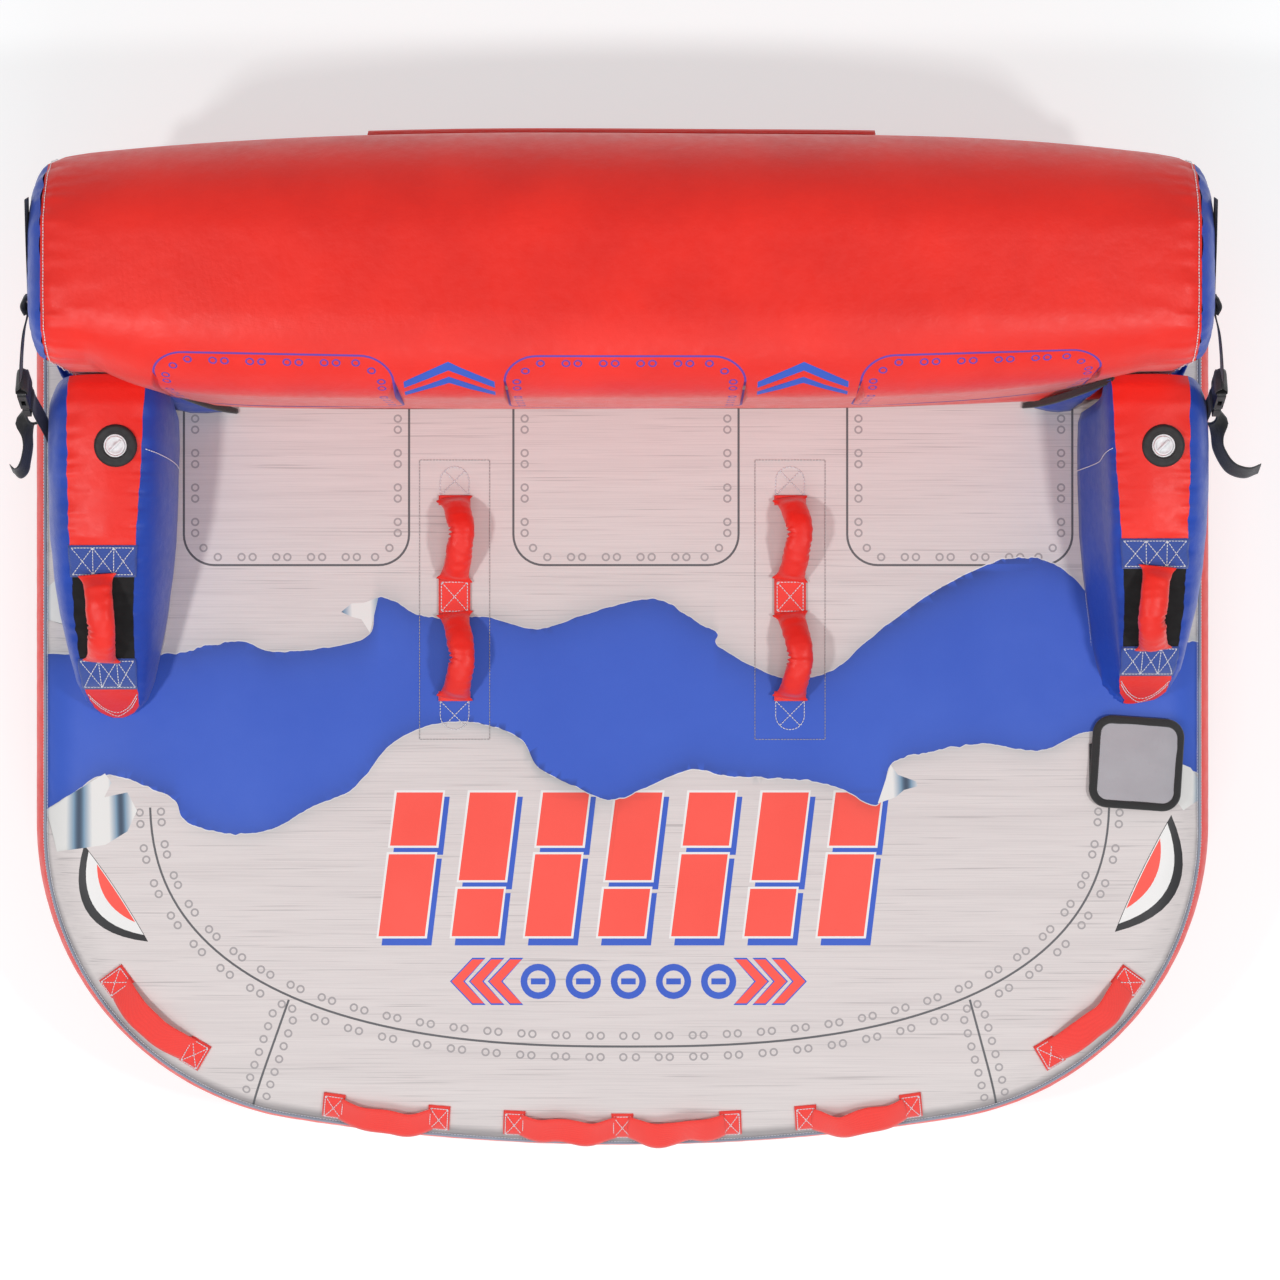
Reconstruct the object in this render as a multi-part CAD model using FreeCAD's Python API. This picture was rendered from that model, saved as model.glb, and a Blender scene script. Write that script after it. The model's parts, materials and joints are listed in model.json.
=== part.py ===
"""Three-rider towable tube: a D-shaped inflatable deck with two wedge arms and a folding backrest.

Millimetres, +Z up, +Y towards the backrest, X across the riders. The origin is on the ground
under the middle of the tube. Every fabric cover is a thin shell over its own air bladder.
Each sub-part is one file in parts/, and repeated or mirrored pieces come from one function.
"""

import FreeCAD
import Part
import math
import os

V = FreeCAD.Vector
X_AXIS, Y_AXIS, Z_AXIS = V(1, 0, 0), V(0, 1, 0), V(0, 0, 1)

# ---------------------------------------------------------------- driving dimensions

cover_thickness = 2.0
bladder_gap = 2.0
bladder_thickness = 1.5
bladder_inset = cover_thickness + bladder_gap
skin_gap = 0.3
FAR = 3000.0

# deck: flat side runs, two corner arcs and a shallow front arc
deck_half_width = 976.0
deck_front = -823.0
deck_rear = 797.0
deck_height = 290.0
rim_radius = 95.0
corner_radius = 500.0
corner_y = -285.0
rear_corner_radius = 150.0
seam_elevation = 40.0
piping_radius = 3.5

# backrest: a rounded bar across the rear of the deck
back_front = 394.0
back_rear = 812.0
back_bottom = deck_height + 1.0
back_top = 715.0
back_front_top_radius = 130.0
back_rear_top_radius = 175.0
back_bottom_radius = 55.0
back_half_length = 916.0
back_end_radius = 45.0
back_seam_x = 890.0
fold_axis_y = 800.0
fold_axis_z = 290.5
hinge_strip_length = 1700.0
hinge_strip_thickness = 2.5
hinge_lower_edges = ((751.0, 278.2), (798.2, 289.0))
hinge_upper_edges = ((803.0, 293.5), (811.2, 330.0))

# arms: (y, full width, height above the deck, top corner radius), rear to nose
arm_x = 827.0
arm_stations = [
    (391.0, 205.0, 215.0, 32.0),
    (180.0, 195.0, 205.0, 32.0),
    (-50.0, 115.0, 95.0, 7.0),
    (-105.0, 60.0, 20.0, 7.0),
]
arm_foot_depth = 45.0
strip_prism_height = 400.0
strip_half_rear = 62.0
strip_half_nose = 42.0
knuckle_pad_y = (-12.0, 118.0)
arm_band_width = 50.0
webbing_thickness = 2.5

# valves
valve_collar_radius = 33.0
valve_hole_radius = 20.0
valve_barrel_radius = 16.5
valve_bore_radius = 11.0
valve_flange_radius = 26.0
valve_flange_lift = 0.3
valve_flange_thickness = 1.4
valve_collar_thickness = 2.5
valve_collar_overlap = 1.5
valve_barrel_z = (-9.5, 2.0)
valve_stem_z = (-6.0, 2.2)
valve_stem_fit = 0.3
valve_cap_inset = 1.0
valve_cap_thickness = 2.0
valve_grip_length, valve_grip_width, valve_grip_height = 22.0, 3.0, 2.5
arm_valve_offset = 28.0
arm_valve_y = 325.0
deck_valve = (838.0, -184.0)
back_valve = (600.0, 450.0)
flap_offset = 5.0
flap_half_size = 75.0
flap_corner = 25.0
flap_lift = 8.0
flap_thickness = 2.0
flap_hem_width, flap_hem_height, flap_hem_length = 14.0, 7.0, 100.0
binding_width = 10.0
binding_thickness = 5.0
gusset_width, gusset_height, gusset_y = 62.0, 205.0, 387.0
gusset_lift, gusset_thickness = 0.2, 2.0
gusset_binding_width, gusset_binding_thickness, gusset_binding_run_out = 6.0, 12.0, 20.0

# padded loop handles
loop_radius = 14.0
loop_pivot = 18.0
loop_turn = 66.0
loop_foot_radius = 18.0
loop_straight = 5.0
loop_bore_radius, loop_bore_depth = 5.5, 6.0
stub_radius = 5.0
stub_end_gap = 0.5
stub_root = 4.0
foot_width = 24.0
riser_base, riser_top = (4.0, 14.0), (2.0, 8.0)
riser_lift, riser_crown = 0.5, 6.0
arm_loop_span = 136.0
seat_handle_x = 275.0
seat_loops_y = {"rear": (118.0, 246.0), "front": (-72.0, 56.0)}
seat_patches_y = ((250.0, 304.0), (62.0, 112.0), (-130.0, -76.0))
seat_patch_width = 51.0
seat_patch_lift = 1.1
backing_y, backing_half_width, backing_thickness = (-145.0, 313.0), 57.5, 1.0

# flat webbing handles round the front rim
webbing_width = 50.0
patch_length = 35.0
patch_thickness = 3.5
rim_handle_slope = 34.6
rim_strap_rise = 24.0
rim_strap_width = 44.0
rim_strap_end_gap = 3.0
rim_strap_bow = ((0.0, 0.2), (0.1, 0.5), (0.22, 0.78), (0.36, 0.95), (0.5, 1.0))
rim_patch_reach = 30.0
corner_handle_angles = (34.5, 57.5)
front_handle_x = (302.0, 475.0)
centre_handle_x = (0.0, 178.0)

# side straps and buckles between backrest and arms
strap_width = 38.0
strap_thickness = 1.8
strap_plane_x = 945.0
buckle_y = 405.0
buckle_z = 470.0
socket_length, socket_width, socket_depth = 48.0, 50.0, 14.0
socket_corner, plug_corner = 6.0, 4.0
socket_slot_x = (40.0, 44.0)
socket_window_x, socket_window_depth = (16.0, 30.0), 7.0
cavity_length, cavity_width, cavity_depth = 34.0, 37.0, 9.0
prong_length, prong_width, prong_depth, prong_reach = 29.0, 6.0, 6.0, 16.0
plug_length, plug_width, plug_depth = 26.0, 48.0, 10.0
plug_mouth_gap = 0.5
plug_slot_starts, plug_slot_width, slot_half_length = (-22.0, -12.0), 4.5, 20.0
cut_margin = 1.0
end_strap_front, end_strap_rear = (540.0, 585.0), (700.0, 625.0)
end_strap_gap = 1.4
strap_span_start, strap_span_overlap = 60.0, 8.0
keeper_gap, keeper_thickness = 0.4, 7.0
keeper_half_y, keeper_half_z = 12.0, 22.0

# routes of the strap in the buckle's own plane, as (x, z): x along the pull, z outwards
lower_strap_route = [
    (-172.0, -14.4),
    (-112.0, -14.4),
    (-34.0, -7.3),
    (-9.75, -7.3),
    (-9.75, 7.3),
    (-34.0, 7.3),
    (-60.0, 11.0),
    (-100.0, 28.0),
    (-150.0, 46.0),
    (-195.0, 54.0),
]
strap_bight_route = [(64.0, 1.2), (50.0, 8.3), (42.0, 8.3), (42.0, -8.3), (50.0, -8.3), (64.0, -1.2)]

# zippers
zip_half_length = 390.0
zip_tape_width = 30.0
zip_tape_thickness = 1.2
coil_width, coil_height = 5.0, 2.5
coil_end_margin = 10.0
slider_half_length, slider_half_height, slider_cover = 8.0, 6.0, 2.0
slider_tab_half_width, slider_tab_thickness, slider_tab_z = 5.0, 1.2, (-22.0, 4.0)
slider_park = 40.0
zip_clearance = 0.35
back_zip_z = 512.0
deck_zip_z = 145.0
zip_flap_z = (486.0, 538.0)
zip_flap_y = (820.5, 823.0)
zip_hem_z = (539.5, 547.0)
zip_flap_overhang = 8.0
zip_flap_gap = 0.5

# tow point under the front rim
tow_pad_inner, tow_pad_outer = 0.3, 10.8
tow_pad_angles = (27.0, 60.0)
tow_pad_half_width = 90.0
tow_eye_angle = 44.0
tow_eye_reach = 116.5
tow_eye_radius = 12.0
tow_hole_radius = 6.5
tow_eye_thickness = 16.0
tow_flange_half_width = 34.0
tow_flange_angles = (34.0, 54.0)
tow_flange_gap, tow_flange_thickness = 0.1, 2.5
tow_disc_root = 7.6
tow_slot_fit, tow_slot_trim = 0.3, 2.0
tow_sector_reach = 200.0
piping_clearance = 0.4
piping_gap = 0.1

os.makedirs("parts", exist_ok=True)

# ---------------------------------------------------------------- general helpers

shared_nodes = {}


def share(name, *solids):
    """Collect alike pieces of one body under one node, saved together at the end."""
    shared_nodes.setdefault(name, []).extend(solids)


def save(name, *solids):
    shape = solids[0] if len(solids) == 1 else Part.makeCompound(solids)
    if not shape.isValid():
        print("NOT VALID:", name)
    shape.exportStep("parts/" + name + ".step")
    print(f"{name}: {len(shape.Solids)} solids, {shape.Volume / 1000:.1f} cm3")


def box(x0, x1, y0, y1, z0, z1):
    return Part.makeBox(x1 - x0, y1 - y0, z1 - z0, V(x0, y0, z0))


def mirrored(shape):
    return shape.mirror(V(0, 0, 0), X_AXIS)


def line(a, b):
    return Part.LineSegment(a, b).toShape()


def arc(centre, radius, start, end, u=X_AXIS, v=Y_AXIS):
    """Arc from angle start to end, in degrees, in the plane of u and v."""

    def at(angle):
        turn = math.radians(angle)
        return centre + u * (radius * math.cos(turn)) + v * (radius * math.sin(turn))

    return Part.Arc(at(start), at((start + end) / 2), at(end)).toShape()


def prism(points, direction):
    return Part.Face(Part.makePolygon(points + points[:1])).extrude(direction)


def local_frame(origin, along, up):
    """Placement whose local X runs along, and whose local Z is up."""
    x = V(along).normalize()
    y = V(up).cross(x).normalize()
    z = x.cross(y)
    matrix = FreeCAD.Matrix(
        x.x, y.x, z.x, origin.x, x.y, y.y, z.y, origin.y, x.z, y.z, z.z, origin.z, 0, 0, 0, 1
    )
    return FreeCAD.Placement(matrix)


def placed(shape, placement):
    moved = shape.copy()
    moved.Placement = placement.multiply(shape.Placement)
    return moved


def ribbon(start, end, across, width, thickness):
    """Flat strip between two points. across is the direction of its width."""
    along = end - start
    up = V(along).cross(across).normalize()
    strip = box(0, along.Length, -width / 2, width / 2, -thickness / 2, thickness / 2)
    return placed(strip, local_frame(start, along, up))


def bent_strip(points, across, width, thickness):
    """Webbing that follows points, all of them in one plane square to across."""
    side = V(across).normalize()
    ways = [(b - a).normalize() for a, b in zip(points, points[1:])]
    ways = ways[:1] + ways + ways[-1:]
    upper, lower = [], []
    for point, before, after in zip(points, ways, ways[1:]):
        square = side.cross(before)
        mitre = (square + side.cross(after)).normalize()
        step = mitre * (thickness / 2 / mitre.dot(square))
        upper.append(point + step - side * (width / 2))
        lower.append(point - step - side * (width / 2))
    return prism(upper + lower[::-1], side * width)


def shell(make, outer_inset, thickness):
    return make(outer_inset).cut(make(outer_inset + thickness))


# ---------------------------------------------------------------- deck


def front_arc_radius():
    """Radius of the front arc that meets both corner arcs without a kink."""
    reach = corner_y - deck_front
    centre_x = deck_half_width - corner_radius
    return (corner_radius**2 - centre_x**2 - reach**2) / (2 * (corner_radius - reach))


def deck_outline(inset, z):
    """Closed outline of the deck, moved inwards by inset."""
    half = deck_half_width - inset
    centre_x = deck_half_width - corner_radius
    rear = deck_rear - inset
    rear_arc = rear_corner_radius - inset
    big = front_arc_radius()
    big_y = deck_front + big
    meet = math.degrees(math.atan2(centre_x, big_y - corner_y))
    right_corner, left_corner = V(centre_x, corner_y, z), V(-centre_x, corner_y, z)
    rear_y = deck_rear - rear_corner_radius
    rear_x = deck_half_width - rear_corner_radius
    edges = [
        arc(V(0, big_y, z), big - inset, -90 - meet, -90 + meet),
        arc(right_corner, corner_radius - inset, -90 + meet, 0),
        line(V(half, corner_y, z), V(half, rear_y, z)),
        arc(V(rear_x, rear_y, z), rear_arc, 0, 90),
        line(V(rear_x, rear, z), V(-rear_x, rear, z)),
        arc(V(-rear_x, rear_y, z), rear_arc, 90, 180),
        line(V(-half, rear_y, z), V(-half, corner_y, z)),
        arc(left_corner, corner_radius - inset, 180, 270 - meet),
    ]
    return Part.Wire(edges)


def deck_solid(inset):
    """Flat slab with a rounded rim, moved inwards by inset on every side."""
    height = deck_height - 2 * inset
    slab = Part.Face(deck_outline(inset, inset)).extrude(V(0, 0, height))
    flat = [e for e in slab.Edges if e.BoundBox.ZLength < 0.01]
    return slab.makeFillet(rim_radius - inset, flat)


rim_top_z = deck_height - rim_radius
seam_turn = math.radians(seam_elevation)
seam_z = rim_top_z + rim_radius * math.sin(seam_turn)


def slab_between(shape, z0, z1):
    return shape.common(box(-FAR, FAR, -FAR, FAR, z0, z1))


def make_deck():
    skin = shell(deck_solid, 0.0, cover_thickness)
    hole = valve_hole((deck_valve[0], deck_valve[1], deck_height))
    save("deck_cover_top", slab_between(skin, seam_z, FAR).cut(hole))
    save("deck_side_band", slab_between(skin, deck_height - seam_z, seam_z))
    save("deck_cover_bottom", slab_between(skin, -FAR, deck_height - seam_z))
    bladder = shell(deck_solid, bladder_inset, bladder_thickness)
    save("deck_bladder", bladder.cut(valve_barrel_hole((*deck_valve, deck_height))))


def upper_piping(radius):
    """Round cord along the deck's upper seam, standing just proud of the cover."""
    reach = rim_radius + piping_radius + piping_gap
    inset = rim_radius - reach * math.cos(seam_turn)
    path = deck_outline(inset, rim_top_z + reach * math.sin(seam_turn))
    start = path.Edges[2].Vertexes[0].Point
    return path.makePipe(Part.Face(Part.Wire(Part.makeCircle(radius, start, Y_AXIS))))


def lower_piping(radius):
    return upper_piping(radius).mirror(V(0, 0, deck_height / 2), Z_AXIS)


def make_piping():
    save("deck_piping", upper_piping(piping_radius), lower_piping(piping_radius))


# ---------------------------------------------------------------- valves


def facing(origin, direction):
    return FreeCAD.Placement(V(*origin), FreeCAD.Rotation(Z_AXIS, direction))


def valve_hole(origin, direction=Z_AXIS):
    hole = Part.makeCylinder(valve_hole_radius, 8, V(0, 0, -3))
    return placed(hole, facing(origin, direction))


def valve_barrel_hole(origin, direction=Z_AXIS):
    depth = bladder_inset + bladder_thickness + 3
    hole = Part.makeCylinder(valve_barrel_radius + 0.2, depth, V(0, 0, -depth))
    return placed(hole, facing(origin, direction))


def valve_pieces(origin, direction=Z_AXIS):
    """Collar, body and cap of one air valve. Local z = 0 is the outside of the cover."""

    def cylinder(radius, z0, z1):
        return Part.makeCylinder(radius, z1 - z0, V(0, 0, z0))

    flange_z = valve_flange_lift - bladder_inset
    disc_z = valve_stem_z[1]
    grip_z = disc_z + valve_cap_thickness
    collar = cylinder(valve_collar_radius, 0, valve_collar_thickness)
    collar = collar.cut(cylinder(valve_hole_radius - valve_collar_overlap, 0, valve_collar_thickness))
    flange = cylinder(valve_flange_radius, flange_z, flange_z + valve_flange_thickness)
    barrel = cylinder(valve_barrel_radius, *valve_barrel_z)
    bore = cylinder(valve_bore_radius, valve_barrel_z[0] - cut_margin, valve_barrel_z[1] + cut_margin)
    body = flange.fuse(barrel).cut(bore).removeSplitter()
    stem = cylinder(valve_bore_radius - valve_stem_fit, *valve_stem_z)
    disc = cylinder(valve_barrel_radius - valve_cap_inset, disc_z, grip_z)
    half_length, half_width = valve_grip_length / 2, valve_grip_width / 2
    grip = box(-half_length, half_length, -half_width, half_width, grip_z, grip_z + valve_grip_height)
    cap = stem.fuse([disc, grip]).removeSplitter()
    place = facing(origin, direction)
    return [placed(piece, place) for piece in (collar, body, cap)]


# ---------------------------------------------------------------- backrest


def back_profile(inset, x):
    front, rear = back_front + inset, back_rear - inset
    bottom, top = back_bottom + inset, back_top - inset
    r_ft, r_rt = back_front_top_radius - inset, back_rear_top_radius - inset
    r_b = back_bottom_radius - inset

    def at(y, z):
        return V(x, y, z)

    def bend(y, z, radius, start):
        return arc(V(x, y, z), radius, start, start - 90, Y_AXIS, Z_AXIS)

    return Part.Wire(
        [
            line(at(front, bottom + r_b), at(front, top - r_ft)),
            bend(front + r_ft, top - r_ft, r_ft, 180),
            line(at(front + r_ft, top), at(rear - r_rt, top)),
            bend(rear - r_rt, top - r_rt, r_rt, 90),
            line(at(rear, top - r_rt), at(rear, bottom + r_b)),
            bend(rear - r_b, bottom + r_b, r_b, 0),
            line(at(rear - r_b, bottom), at(front + r_b, bottom)),
            bend(front + r_b, bottom + r_b, r_b, 270),
        ]
    )


def back_solid(inset):
    half = back_half_length - inset
    bar = Part.Face(back_profile(inset, -half)).extrude(V(2 * half, 0, 0))
    ends = [e for e in bar.Edges if e.BoundBox.XLength < 0.01]
    return bar.makeFillet(back_end_radius - inset, ends)


def make_backrest():
    skin = shell(back_solid, 0.0, cover_thickness)
    origin = (back_valve[0], back_rear, back_valve[1])
    hole = valve_hole(origin, Y_AXIS)
    middle = box(-back_seam_x, back_seam_x, -FAR, FAR, -FAR, FAR)
    right_end = skin.common(box(back_seam_x, FAR, -FAR, FAR, -FAR, FAR))
    save("backrest_cover", skin.common(middle).cut(hole))
    save("backrest_ends", right_end, mirrored(right_end))
    bladder = shell(back_solid, bladder_inset, bladder_thickness)
    save("backrest_bladder", bladder.cut(valve_barrel_hole(origin, Y_AXIS)))


def make_hinge_strip():
    """Fabric strip behind the backrest's lower rear edge, in two halves that meet at the fold axis."""
    for name, edges in (("lower", hinge_lower_edges), ("upper", hinge_upper_edges)):
        start, end = (V(0, y, z) for y, z in edges)
        strip = ribbon(start, end, X_AXIS, hinge_strip_length, hinge_strip_thickness)
        save(f"hinge_strip_{name}", strip)


# ---------------------------------------------------------------- arms


def arm_section(y, width, height, radius):
    """Section of the right arm across Y: square at the foot, rounded at the top."""
    left, right = arm_x - width / 2, arm_x + width / 2
    foot, top = deck_height - arm_foot_depth, deck_height + height

    def at(x, z):
        return V(x, y, z)

    return Part.Wire(
        [
            line(at(left, foot), at(left, top - radius)),
            arc(at(left + radius, top - radius), radius, 180, 90, X_AXIS, Z_AXIS),
            line(at(left + radius, top), at(right - radius, top)),
            arc(at(right - radius, top - radius), radius, 90, 0, X_AXIS, Z_AXIS),
            line(at(right, top - radius), at(right, foot)),
            line(at(right, foot), at(left, foot)),
        ]
    )


def arm_solid(inset):
    """Right arm down to the deck, moved inwards by inset, or outwards if inset is negative."""
    last = len(arm_stations) - 1
    sections = []
    for index, (y, width, height, radius) in enumerate(arm_stations):
        if index == 0:
            y -= inset
        if index == last:
            y += inset
        sections.append(arm_section(y, width - 2 * inset, height - inset, radius - inset))
    return Part.makeLoft(sections, True, True).cut(deck_solid(-inset))


def arm_top(y):
    """Height and slope, in degrees, of the arm's top at y."""
    for (y1, _, h1, _), (y0, _, h0, _) in zip(arm_stations, arm_stations[1:]):
        if y0 <= y <= y1:
            rise = (h1 - h0) / (y1 - y0)
            return deck_height + h0 + rise * (y - y0), math.degrees(math.atan(rise))


def strip_prism(y0, y1):
    """Vertical prism over the arm's top strip, between two stations along Y."""
    nose, rear = arm_stations[-1][0], arm_stations[0][0]

    def half(y):
        return strip_half_nose + (strip_half_rear - strip_half_nose) * (y - nose) / (rear - nose)

    corners = [(-1, y0), (1, y0), (1, y1), (-1, y1)]
    foot = deck_height + cover_thickness
    points = [V(arm_x + side * half(y), y, foot) for side, y in corners]
    return prism(points, V(0, 0, strip_prism_height))


def make_arm(side, here, valve_offset):
    """One arm, drawn on the right. here puts a shape on its own side of the deck."""
    top_z, slope = arm_top(arm_valve_y)
    tilt = math.radians(slope)
    valve_at = (arm_x + valve_offset, arm_valve_y, top_z)
    valve_way = V(0, -math.sin(tilt), math.cos(tilt))
    skin = shell(arm_solid, 0.0, cover_thickness).cut(valve_hole(valve_at, valve_way))
    strip = skin.common(strip_prism(-FAR, FAR))
    low, high = knuckle_pad_y
    pad_zone = box(-FAR, FAR, low, high, 0, FAR)
    save(f"arm_{side}_top_panel", here(strip.cut(pad_zone)))
    save(f"arm_{side}_knuckle_pad", here(strip.common(pad_zone)))
    save(f"arm_{side}_side_panels", here(skin.cut(strip_prism(-FAR, FAR))))
    bladder = shell(arm_solid, bladder_inset, bladder_thickness)
    share("arm_bladders", here(bladder.cut(valve_barrel_hole(valve_at, valve_way))))
    collar, valve, cap = valve_pieces(valve_at, valve_way)
    share("deck_valve_collars", here(collar))
    share("deck_valves", here(valve))
    save(f"arm_{side}_valve_cap", here(cap))

    middle = (low + high) / 2
    height, slope = arm_top(middle)
    tilt = math.radians(slope)
    along = V(0, math.cos(tilt), math.sin(tilt))
    place = local_frame(V(arm_x, middle, height), along, V(0, -along.z, along.y))
    raised = arm_solid(-webbing_thickness).cut(arm_solid(0.0))
    bands = []
    for sign, edge in ((-1, low), (1, high)):
        y0, y1 = sorted((edge, edge + sign * arm_band_width))
        foot = placed(loop_foot(arm_loop_span, sign), place)
        bands.append(raised.common(strip_prism(y0, y1)).fuse(foot).removeSplitter())
    save(f"arm_{side}_webbing_bands", *[here(band) for band in bands])
    save(f"arm_{side}_handle", here(placed(loop_tube(arm_loop_span), place)))


def make_gussets():
    """Bound triangle of fabric that ties each arm's inner rear corner to the deck."""
    wall = arm_x - arm_stations[0][1] / 2 - skin_gap
    base = deck_height + gusset_lift
    corner = V(wall - gusset_width, gusset_y, base)
    top = V(wall, gusset_y, base + gusset_height)
    panel = prism([V(wall, gusset_y, base), corner, top], V(0, gusset_thickness, 0))
    run_out = (top - corner).normalize() * gusset_binding_run_out
    middle = V(0, gusset_thickness / 2, 0)
    start, end = corner - run_out + middle, top + run_out + middle
    edge = ribbon(start, end, Y_AXIS, gusset_binding_width, gusset_binding_thickness)
    edge = edge.cut(box(wall, FAR, -FAR, FAR, -FAR, FAR)).cut(box(-FAR, FAR, -FAR, FAR, -FAR, base))
    panel = panel.cut(edge)
    save("arm_gussets", panel, mirrored(panel))
    save("gusset_bindings", edge, mirrored(edge))


# ---------------------------------------------------------------- padded loop handles


def loop_tube(span):
    """Padded handle, in its own frame: ends at x = -span/2 and span/2, turning about z = pivot."""
    bend = math.radians(loop_turn)
    foot_x = span / 2 - loop_straight
    big = (foot_x - loop_foot_radius * math.sin(bend)) / math.sin(bend)
    join_z = loop_pivot + loop_foot_radius * (1 - math.cos(bend))
    big_z = join_z - big * math.cos(bend)
    foot_z = loop_pivot + loop_foot_radius
    path = Part.Wire(
        [
            line(V(-span / 2, 0, loop_pivot), V(-foot_x, 0, loop_pivot)),
            arc(V(-foot_x, 0, foot_z), loop_foot_radius, -90, loop_turn - 90, X_AXIS, Z_AXIS),
            arc(V(0, 0, big_z), big, 90 + loop_turn, 90 - loop_turn, X_AXIS, Z_AXIS),
            arc(V(foot_x, 0, foot_z), loop_foot_radius, 270 - loop_turn, 270, X_AXIS, Z_AXIS),
            line(V(foot_x, 0, loop_pivot), V(span / 2, 0, loop_pivot)),
        ]
    )
    start = V(-span / 2, 0, loop_pivot)
    ring = Part.Wire(Part.makeCircle(loop_radius, start, X_AXIS))
    tube = path.makePipe(Part.Face(ring))
    bore = Part.makeCylinder(loop_bore_radius, loop_bore_depth, start, X_AXIS)
    far_bore = bore.mirror(V(0, 0, 0), X_AXIS)
    return tube.cut(bore).cut(far_bore)


def loop_foot(span, sign):
    """Sewn-down end of a handle: a riser and the stub that its tube turns on."""
    end = span / 2
    crown = loop_pivot + riser_crown
    outline = [(x, riser_lift) for x in riser_base] + [(x, crown) for x in riser_top[::-1]]
    points = [V(sign * (end + x), -foot_width / 2, z) for x, z in outline]
    riser = prism(points, V(0, foot_width, 0))
    tip = V(sign * (end - loop_bore_depth + stub_end_gap), 0, loop_pivot)
    stub = Part.makeCylinder(stub_radius, loop_bore_depth + stub_root, tip, X_AXIS * sign)
    return riser.fuse(stub)


def make_seat_handles():
    for side, sign in (("left", -1), ("right", 1)):
        x = sign * seat_handle_x
        half, foot_z = seat_patch_width / 2, deck_height + seat_patch_lift
        patches = [
            box(x - half, x + half, y0, y1, foot_z, foot_z + patch_thickness)
            for y0, y1 in seat_patches_y
        ]
        for place_name, (y0, y1) in seat_loops_y.items():
            origin = V(x, (y0 + y1) / 2, foot_z)
            place = local_frame(origin, Y_AXIS, Z_AXIS)
            save(f"seat_handle_{side}_{place_name}", placed(loop_tube(y1 - y0), place))
            for end in (-1, 1):
                foot = placed(loop_foot(y1 - y0, end), place)
                nearest = min(patches, key=lambda patch: patch.distToShape(foot)[0])
                patches[patches.index(nearest)] = nearest.fuse(foot).removeSplitter()
        share("seat_handle_patches", *patches)
    x0, x1 = seat_handle_x - backing_half_width, seat_handle_x + backing_half_width
    backing = box(x0, x1, *backing_y, deck_height, deck_height + backing_thickness)
    save("seat_handle_backings", backing, mirrored(backing))


# ---------------------------------------------------------------- flat handles round the front rim


def rim_frame(centre, radius, angle):
    """Point on the upper rim, the way along the rim, and the outward normal there."""
    turn = math.radians(angle)
    lean = math.radians(rim_handle_slope)
    out = V(math.cos(turn), math.sin(turn), 0)
    normal = out * math.sin(lean) + Z_AXIS * math.cos(lean)
    point = V(*centre, rim_top_z) + out * (radius - rim_radius) + normal * rim_radius
    return point, Z_AXIS.cross(out), normal


def front_arc_frame(x):
    big = front_arc_radius()
    reach = big - rim_radius * (1 - math.sin(math.radians(rim_handle_slope)))
    return rim_frame((0, deck_front + big), big, math.degrees(math.asin(x / reach)) - 90)


def corner_frame(angle):
    return rim_frame((deck_half_width - corner_radius, corner_y), corner_radius, -angle)


def flat_loop(start, middle, end):
    """Slack webbing between two sewn patches, standing off the rim."""
    chord = end[0] - start[0]
    along = V(chord).normalize()
    across = along.cross(middle[2]).normalize()
    up = across.cross(along)
    gap = (patch_length / 2 + rim_strap_end_gap) / chord.Length
    steps = list(rim_strap_bow) + [(1 - t, rise) for t, rise in reversed(rim_strap_bow[:-1])]
    points = []
    for t, rise in steps:
        spot = start[0] + chord * (gap + (1 - 2 * gap) * t)
        points.append(spot + up * (rim_strap_rise * rise))
    return bent_strip(points, across, rim_strap_width, webbing_thickness)


def rim_patch(frame):
    point, along, normal = frame
    length, width, reach = patch_length / 2, webbing_width / 2, rim_patch_reach
    block = box(-length, length, -width, width, -reach, reach)
    patch = patch_skin.common(placed(block, local_frame(point, along, normal)))
    return max(patch.Solids, key=lambda solid: solid.Volume)


def make_front_handles():
    inner, outer = centre_handle_x
    x0, x1 = front_handle_x
    near, far = corner_handle_angles
    handles = {
        "centre": [front_arc_frame(x) for x in (inner, (inner + outer) / 2, outer)],
        "front": [front_arc_frame(x) for x in (x0, (x0 + x1) / 2, x1)],
        "corner": [corner_frame(angle) for angle in (far, (near + far) / 2, near)],
    }
    patches = [rim_patch(front_arc_frame(inner))]
    for name, frames in handles.items():
        strap = flat_loop(*frames)
        save(f"rim_strap_right_{name}", strap)
        save(f"rim_strap_left_{name}", mirrored(strap))
        ends = frames[2:] if name == "centre" else frames[::2]
        for frame in ends:
            patch = rim_patch(frame)
            patches += [patch, mirrored(patch)]
    save("rim_strap_patches", *patches)


# ---------------------------------------------------------------- valve flap


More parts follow.
